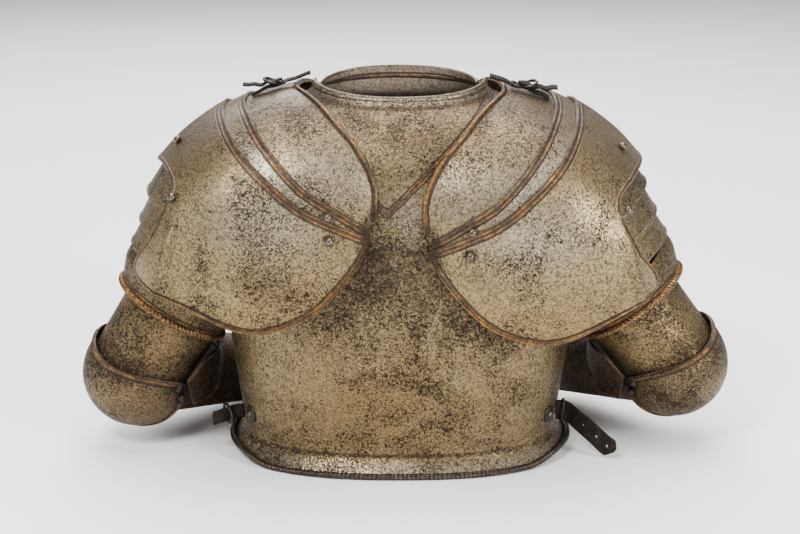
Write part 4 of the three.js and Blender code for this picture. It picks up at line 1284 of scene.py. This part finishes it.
def add_all_rivets():
    for side in SIDES:
        places = []
        for name, (way, layer) in PAULDRON_RIVETS.items():
            def point(u, v, way=way, layer=layer):
                direction = bone(way[0] + 100 * u, way[1] + 40 * u, way[2] + 100 * v)
                return on_pauldron(direction, layer * LAYER)
            places.append((point(np.array(0.0), np.array(0.0)), aim_at(point, 0.0, 0.0, PAULDRON)))
        add_rivets(f"pauldron_rivets_{side}", places, place_pauldron(side), "body",
                   [f"{name}_{side}" for name in PAULDRON_RIVETS])
        places = []
        for name, (_, rows) in ARM_LAMES.items():
            height = rows[0][0] + LAME_RIVET_UP

            def ring(u, v, side=side, rows=rows):
                return about_arm(side, rows, math.radians(LAME_RIVET_ANGLE) + u, v)
            places.append((ring(np.array(0.0), np.array(height)),
                           aim_at(ring, 0.0, height, arm_inside(side, height))))
        add_rivets(f"arm_rivets_{side}", places, place_arm(side), "body",
                   [f"rivet_{name}_{side}" for name in ARM_LAMES])
        places = []
        for turn in (1, -1):
            for share in PIVOT_SHARES:
                def cap(u, v, side=side, turn=turn):
                    return couter_point(side, math.radians(turn * PIVOT_ANGLE) + u, v)
                aim = aim_at(cap, 0.0, share, elbow_place(side))
                places.append((cap(np.array(0.0), np.array(share)) + aim * PIVOT_PROUD, aim))
        add_rivets(f"elbow_pivots_{side}", places, place_arm(side), f"elbow_{side}",
                   [f"pivot_{bone_name}_{end}_{side}" for bone_name in ("upper", "lower")
                    for end in ("inner", "outer")], radius=PIVOT_RADIUS * MM,
                   material=made_of("buckle_iron"))


# ------------------------------------------------------------------ straps and buckles
def strap_mesh(name, middle_line, across, half, taper=False, wave=0.0):
    """A leather strap with rounded edges along a line, given its direction across."""
    thick = sizes().leather / MM
    walk = np.gradient(middle_line, axis=0)
    walk /= np.linalg.norm(walk, axis=1, keepdims=True)
    face = np.cross(walk, across)
    face /= np.linalg.norm(face, axis=1, keepdims=True)
    share = np.linspace(0, 1, len(middle_line))
    tip = np.clip((share - 0.88) / 0.12, 0, 1) if taper else 0 * share
    width = half * (1 - 0.8 * tip ** 1.3)
    lift = wave * np.sin(share * 17) * np.sin(share * math.pi)
    base = middle_line + face * lift[:, None]
    turns = np.linspace(0, 2 * math.pi, 24, endpoint=False)
    ring = [(np.sign(math.cos(t)) * abs(math.cos(t)) ** 0.35,
             np.sign(math.sin(t)) * abs(math.sin(t)) ** 0.6) for t in turns]
    points = np.stack([base + across * (width * c)[:, None] + face * (thick / 2 * s)
                       for c, s in ring], axis=1)
    return tube_mesh(name, points)


def tube_mesh(name, rings, closed=False):
    """A closed tube through rings of points, with flat ends or joined to itself."""
    count, sides = rings.shape[:2]
    faces = []
    for j in range(count if closed else count - 1):
        following = (j + 1) % count
        for i in range(sides):
            n = (i + 1) % sides
            faces.append((j * sides + i, j * sides + n, following * sides + n,
                          following * sides + i))
    if not closed:
        faces.append(tuple(range(sides - 1, -1, -1)))
        faces.append(tuple((count - 1) * sides + i for i in range(sides)))
    mesh = bpy.data.meshes.new(name)
    mesh.from_pydata((rings.reshape(-1, 3) * MM).tolist(), [], faces)
    mesh.update()
    total = sum((mesh.vertices[p.vertices[0]].co.dot(p.normal)) * p.area for p in mesh.polygons)
    if total < 0:
        mesh.flip_normals()
    mesh.shade_smooth()
    mesh.set_sharp_from_angle(angle=SHARP_STRAP)
    return mesh


def punch(mesh, spots, aim, radius):
    """Cuts round holes through a strap."""
    piece = bpy.data.objects.new("strap_blank", mesh)
    bpy.context.scene.collection.objects.link(piece)
    for spot in spots:
        cutter = bmesh.new()
        turn = Vector(aim).to_track_quat("Z", "Y").to_matrix().to_4x4()
        bmesh.ops.create_cone(cutter, cap_ends=True, segments=16, radius1=radius * MM,
                              radius2=radius * MM, depth=PUNCH_LENGTH * MM,
                              matrix=Matrix.Translation(Vector(spot) * MM) @ turn)
        tool_mesh = bpy.data.meshes.new("strap_punch")
        cutter.to_mesh(tool_mesh)
        cutter.free()
        tool = bpy.data.objects.new("strap_punch", tool_mesh)
        bpy.context.scene.collection.objects.link(tool)
        cut = piece.modifiers.new("Hole", "BOOLEAN")
        cut.operation = "DIFFERENCE"
        cut.object = tool
        graph = bpy.context.evaluated_depsgraph_get()
        piece.data = bpy.data.meshes.new_from_object(piece.evaluated_get(graph),
                                                     depsgraph=graph)
        piece.modifiers.clear()
        bpy.data.objects.remove(tool)
    result = piece.data
    bpy.data.objects.remove(piece)
    return result


def wire_ring(name, centre, first, second, radius, wire, squash=1.0):
    """A forged wire loop in the plane of two directions."""
    turns = np.linspace(0, 2 * math.pi, 48, endpoint=False)
    around_wire = np.linspace(0, 2 * math.pi, 12, endpoint=False)
    axis = np.cross(first, second)
    rings = []
    for t in turns:
        radial = first * math.cos(t) + second * math.sin(t) * squash
        unit = radial / np.linalg.norm(radial)
        here = centre + radial * radius
        thick = wire * (1 + 0.12 * math.sin(3 * t + 1))
        rings.append([here + (unit * math.cos(w) + axis * math.sin(w)) * thick
                      for w in around_wire])
    return tube_mesh(name, np.array(rings), closed=True)


def prong_mesh(name, start, end, wire):
    """A straight buckle tongue that thins towards its tip."""
    start, end = np.array(start, float), np.array(end, float)
    walk = (end - start) / np.linalg.norm(end - start)
    side = np.cross(walk, (0, 0, 1))
    side /= np.linalg.norm(side)
    lift = np.cross(walk, side)
    rings = []
    for share in np.linspace(0, 1, 10):
        thick = wire * (1 - 0.45 * share)
        rings.append([start + (end - start) * share
                      + (side * math.cos(w) + lift * math.sin(w)) * thick
                      for w in np.linspace(0, 2 * math.pi, 10, endpoint=False)])
    return tube_mesh(name, np.array(rings))


def add_shoulder_straps():
    reach = math.radians(SHOULDER_STRAP["reach"])
    angles = np.linspace(-reach, reach, 60)
    for side in SIDES:
        def edge(climb):
            back = torso_point("back", np.abs(angles), np.full(60, float(climb)))
            front = torso_point("front", np.abs(angles), np.full(60, float(climb)))
            share = smoothstep(angles, -0.04, 0.04)[:, None]
            return front + (back - front) * share
        low, high = edge(SHOULDER_STRAP["low"]), edge(SHOULDER_STRAP["high"])
        across = (high - low) / np.linalg.norm(high - low, axis=1, keepdims=True)
        face = np.cross(np.gradient((low + high) / 2, axis=0), across)
        face /= np.linalg.norm(face, axis=1, keepdims=True)
        face *= np.sign(face[30, 2])
        line = (low + high) / 2 + face * SHOULDER_STRAP_LIFT
        mesh = strap_mesh(f"shoulder_strap_{side}_dressed", place_arm(side)(line),
                          across * (SIDES[side], 1, 1),
                          np.linalg.norm(high - low, axis=1).mean() / 2)
        finish_strap(f"shoulder_strap_{side}_dressed", mesh, f"shoulder_strap_{side}")


# The loops on each shoulder strap: shift along the strap and upwards, lean, radius and wire.
RINGS = (("pauldron_ring", (1, 1), 0.24, 11, 1.5), ("pauldron_keeper", (-12, 1), -0.5, 7, 1.3))


def top_strap_line(table):
    angles = np.linspace(table[0][0], table[0][-1], 50)
    height = smooth_column(*table, angles) + sizes().leather / MM / 2
    bearing = np.radians(angles)
    way = bone(100 * np.cos(bearing), np.full(50, -PAULDRON[1]), 100 * np.sin(bearing))
    return on_pauldron(way, height)


def add_pauldron_straps():
    bearing = math.radians(TOP_BUCKLE["angle"])
    outward = np.array((math.cos(bearing), 0, math.sin(bearing)))
    way = outward * 100 - (0, PAULDRON[1], 0)
    for side in SIDES:
        place = place_pauldron(side)
        for name, table in (("pauldron_strap", TOP_STRAP), ("pauldron_strap_end", TOP_STRAP_END)):
            line = top_strap_line(table)
            across = place(line + (0, 1, 0)) - place(line)
            mesh = strap_mesh(f"{name}_{side}_dressed", place(line), across,
                              TOP_STRAP_HALF * 1.6, taper=name.endswith("end"), wave=0.8)
            finish_strap(f"{name}_{side}_dressed", mesh, f"{name}_{side}")
        centre = on_pauldron(way[None], TOP_BUCKLE["height"])[0]
        along = np.array((outward[2], 0, -outward[0]))
        for name, shift, lean, radius, wire in RINGS:
            middle = centre + along * shift[0] + outward * shift[1]
            tipped = along * math.cos(lean) + outward * math.sin(lean)
            here = place(middle)
            first = place(middle + (0, 1, 0)) - here
            second = place(middle + tipped) - here
            ring = wire_ring(f"{name}_{side}", here, first, second, radius, wire,
                             TOP_BUCKLE["squash"])
            finish_iron(f"{name}_{side}", ring,
                        (f"pauldron_buckle_{side}",) if name == "pauldron_ring" else ())
        tongue = prong_mesh(f"pauldron_tongue_{side}",
                            place(centre - along * TOP_TONGUE["before"] + outward),
                            place(centre + along * TOP_TONGUE["after"] - outward),
                            TOP_TONGUE["wire"])
        finish_iron(f"pauldron_tongue_{side}", tongue)


def side_spot(sign):
    """The point and direction of the washer that holds a side strap."""
    def point(u, v):
        return torso_point("back", np.radians(SIDE_RIVET[0]) + u, v)
    spot = point(np.array(0.0), np.array(float(SIDE_RIVET[1])))
    aim = aim_at(point, 0.0, float(SIDE_RIVET[1]), np.array((0, 0, SIDE_RIVET[1])))
    return spot * (sign, 1, 1), aim * (sign, 1, 1)


def side_loop(name, stretch, radius, wire, squash=1.0, nodes=()):
    """A wire loop round a stretch of a side strap; returns its axis and one radius."""
    walk = stretch[-1] - stretch[0]
    walk /= np.linalg.norm(walk)
    second = np.cross(walk, (0, 0, 1.0))
    second /= np.linalg.norm(second)
    ring = wire_ring(name, stretch[len(stretch) // 2], np.cross(second, walk), second, radius,
                     wire, squash)
    finish_iron(name, ring, nodes)
    return walk, second


def add_right_side_strap():
    """The long free strap with its holes and pointed tip, and the keeper at its root."""
    share = np.linspace(0, 1, SIDE_STRAP_ROWS)[:, None]
    line = place_body(curve_through(SIDE_STRAP, share[:, 0]))
    across = np.array((0, 0, 1)) * (1 - share) + np.array((-0.55, 0.25, 0.8)) * share
    across /= np.linalg.norm(across, axis=1, keepdims=True)
    mesh = strap_mesh("side_strap_right_dressed", line, across, SIDE_STRAP_HALF, taper=True,
                      wave=0.4)
    aim = np.cross(line[45] - line[40], across[42])
    mesh = punch(mesh, [line[row] for row in SIDE_HOLES], aim, HOLE_RADIUS)
    mesh.shade_smooth()
    mesh.set_sharp_from_angle(angle=SHARP_STRAP)
    finish_strap("side_strap_right_dressed", mesh, "side_strap_right")
    side_loop("side_keeper_right", line[6:14], KEEPER["radius"], KEEPER["wire"],
              KEEPER["squash"])


def add_left_side_strap():
    """The short stub that holds the buckle, with the buckle's ring and tongue."""
    line = place_body(curve_through(SIDE_STUB, np.linspace(0, 1, SIDE_STUB_ROWS)))
    across = np.tile((0.05, 0, 1.0), (SIDE_STUB_ROWS, 1))
    mesh = strap_mesh("side_strap_left_dressed", line, across, SIDE_STUB_HALF, wave=0.3)
    finish_strap("side_strap_left_dressed", mesh, "side_strap_left")
    row, radius = SIDE_BUCKLE["row"], SIDE_BUCKLE["radius"]
    walk, second = side_loop("side_buckle_left_dressed", line[row - 2:row + 3], radius,
                             SIDE_BUCKLE["wire"], nodes=("side_buckle_left",))
    prong = prong_mesh("side_buckle_tongue_left", line[row] + second * radius - walk,
                       line[row] + second * 8 + walk * 12, SIDE_BUCKLE["tongue"])
    finish_iron("side_buckle_tongue_left", prong)


def add_side_straps():
    add_right_side_strap()
    add_left_side_strap()
    for side, sign in SIDES.items():
        spot, aim = side_spot(sign)
        add_rivets(f"side_washer_{side}", [(spot + aim * WASHER["proud"], aim)], place_body,
                   "body", [f"side_rivet_{side}"], radius=WASHER["radius"] * MM,
                   height=WASHER["height"], material=made_of("buckle_iron"))
        add_rivets(f"side_rivet_head_{side}", [(spot + aim * WASHER_HEAD["proud"], aim)],
                   place_body, "body", [], radius=WASHER_HEAD["radius"] * MM,
                   height=WASHER_HEAD["height"])


# ------------------------------------------------------------------ stage
CAMERA = {"distance": 2.2, "elevation": 14, "target": (0.0, 0.0, 0.181), "lens": 99,
          "sees_to": 40}
FLOOR_REACH = 14
FLOOR_DROP = 0.0005
LIGHT_TARGET = (0, 0, 0.2)
# Name, place, size and power of each soft light.
LIGHTS = (
    ("key", (-2.2, 1.9, 1.1), 0.9, 125), ("front", (0.9, 1.8, 2.2), 0.9, 90),
    ("fill", (2.4, 1.2, 0.7), 1.0, 26), ("top", (0, -0.5, 2.8), 2.6, 175),
    ("rim", (0.3, -2.6, 1.9), 1.6, 60),
)
SKY = 0.3                         # strength of the even light from all round


def add_stage():
    """The pale floor, the soft lights, the even light of the room, and the camera."""
    link = bpy.context.scene.collection.objects.link
    mesh = bpy.data.meshes.new("studio_floor")
    mesh.from_pydata([(x * FLOOR_REACH, y * FLOOR_REACH, 0) for x, y in (
        (-1, -1), (1, -1), (1, 1), (-1, 1))], [], [(0, 1, 2, 3)])
    mesh.materials.append(floor_material("studio_floor"))
    floor = bpy.data.objects.new("studio_floor", mesh)
    floor.location.z = -FLOOR_DROP
    link(floor)
    for name, place, size, power in LIGHTS:
        lamp = bpy.data.lights.new("studio_" + name, "AREA")
        lamp.size = size
        lamp.energy = power
        light = bpy.data.objects.new("studio_" + name, lamp)
        light.location = place
        light.rotation_euler = (Vector(LIGHT_TARGET) - light.location).to_track_quat(
            "-Z", "Y").to_euler()
        link(light)
    world = bpy.data.worlds.new("studio_air")
    world.use_nodes = True
    air = world.node_tree.nodes["Background"].inputs
    air["Color"].default_value = (1, 1, 1, 1)
    air["Strength"].default_value = SKY
    bpy.context.scene.world = world
    camera = bpy.data.cameras.new("studio_camera")
    camera.lens = CAMERA["lens"]
    camera.clip_end = CAMERA["sees_to"]
    eye = bpy.data.objects.new("studio_camera", camera)
    lift = math.radians(CAMERA["elevation"])
    target = Vector(CAMERA["target"]) + Vector(BODY_MIDDLE) * MM
    eye.location = target + Vector((0, math.cos(lift), math.sin(lift))) * CAMERA["distance"]
    eye.rotation_euler = (target - eye.location).to_track_quat("-Z", "Y").to_euler()
    link(eye)
    bpy.context.scene.camera = eye


# ------------------------------------------------------------------ operators
class ARMOUR_OT_add_stage(bpy.types.Operator):
    """Adds the floor, the studio lights and the camera"""
    bl_idname = "armour.add_stage"
    bl_label = "Add Stage"
    bl_options = {"REGISTER", "UNDO"}

    def execute(self, context):
        add_stage()
        return {"FINISHED"}


class ARMOUR_OT_add_body_plates(bpy.types.Operator):
    """Adds the backplate and breastplate with their roped rims"""
    bl_idname = "armour.add_body_plates"
    bl_label = "Add Body Plates"
    bl_options = {"REGISTER", "UNDO"}

    def execute(self, context):
        add_body_plates()
        return {"FINISHED"}


class ARMOUR_OT_add_pauldrons(bpy.types.Operator):
    """Adds the three plates of each shoulder"""
    bl_idname = "armour.add_pauldrons"
    bl_label = "Add Pauldrons"
    bl_options = {"REGISTER", "UNDO"}

    def execute(self, context):
        add_pauldrons()
        return {"FINISHED"}


class ARMOUR_OT_add_arm_lames(bpy.types.Operator):
    """Adds the arm lames and the turners"""
    bl_idname = "armour.add_arm_lames"
    bl_label = "Add Arm Lames"
    bl_options = {"REGISTER", "UNDO"}

    def execute(self, context):
        add_arm_lames()
        return {"FINISHED"}


class ARMOUR_OT_add_cannons(bpy.types.Operator):
    """Adds the tubes of the upper arms and forearms"""
    bl_idname = "armour.add_cannons"
    bl_label = "Add Cannons"
    bl_options = {"REGISTER", "UNDO"}

    def execute(self, context):
        add_cannons()
        return {"FINISHED"}


class ARMOUR_OT_add_couters(bpy.types.Operator):
    """Adds the elbow caps and their wings"""
    bl_idname = "armour.add_couters"
    bl_label = "Add Couters"
    bl_options = {"REGISTER", "UNDO"}

    def execute(self, context):
        add_couters()
        return {"FINISHED"}


class ARMOUR_OT_add_rivets(bpy.types.Operator):
    """Adds the domed rivets and the elbow pivots"""
    bl_idname = "armour.add_rivets"
    bl_label = "Add Rivets"
    bl_options = {"REGISTER", "UNDO"}

    def execute(self, context):
        add_all_rivets()
        return {"FINISHED"}


class ARMOUR_OT_add_shoulder_straps(bpy.types.Operator):
    """Adds the straps over the shoulder seams"""
    bl_idname = "armour.add_shoulder_straps"
    bl_label = "Add Shoulder Straps"
    bl_options = {"REGISTER", "UNDO"}

    def execute(self, context):
        add_shoulder_straps()
        return {"FINISHED"}


class ARMOUR_OT_add_pauldron_straps(bpy.types.Operator):
    """Adds the straps and rings on top of the shoulders"""
    bl_idname = "armour.add_pauldron_straps"
    bl_label = "Add Pauldron Straps"
    bl_options = {"REGISTER", "UNDO"}

    def execute(self, context):
        add_pauldron_straps()
        return {"FINISHED"}


class ARMOUR_OT_add_side_straps(bpy.types.Operator):
    """Adds the side straps with their washers and buckle"""
    bl_idname = "armour.add_side_straps"
    bl_label = "Add Side Straps"
    bl_options = {"REGISTER", "UNDO"}

    def execute(self, context):
        add_side_straps()
        return {"FINISHED"}


OPERATORS = (
    ARMOUR_OT_add_stage,
    ARMOUR_OT_add_body_plates,
    ARMOUR_OT_add_pauldrons,
    ARMOUR_OT_add_arm_lames,
    ARMOUR_OT_add_cannons,
    ARMOUR_OT_add_couters,
    ARMOUR_OT_add_rivets,
    ARMOUR_OT_add_shoulder_straps,
    ARMOUR_OT_add_pauldron_straps,
    ARMOUR_OT_add_side_straps,
)


class ARMOUR_PT_panel(bpy.types.Panel):
    bl_label = "Cuirass"
    bl_space_type = "VIEW_3D"
    bl_region_type = "UI"
    bl_category = "Armour"

    def draw(self, context):
        layout = self.layout
        for group in (context.scene.armour_sizes, context.scene.armour_colours):
            for name in group.__annotations__:
                layout.prop(group, name)
        for operator in OPERATORS:
            layout.operator(operator.bl_idname)


CLASSES = (ArmourSizes, ArmourColours, *OPERATORS, ARMOUR_PT_panel)


def register():
    for item in CLASSES:
        bpy.utils.register_class(item)
    bpy.types.Scene.armour_sizes = bpy.props.PointerProperty(type=ArmourSizes)
    bpy.types.Scene.armour_colours = bpy.props.PointerProperty(type=ArmourColours)


def unregister():
    del bpy.types.Scene.armour_colours
    del bpy.types.Scene.armour_sizes
    for item in reversed(CLASSES):
        bpy.utils.unregister_class(item)


def main():
    register()
    for operator in OPERATORS:
        group, name = operator.bl_idname.split(".")
        getattr(getattr(bpy.ops, group), name)()


if __name__ == "__main__":
    main()
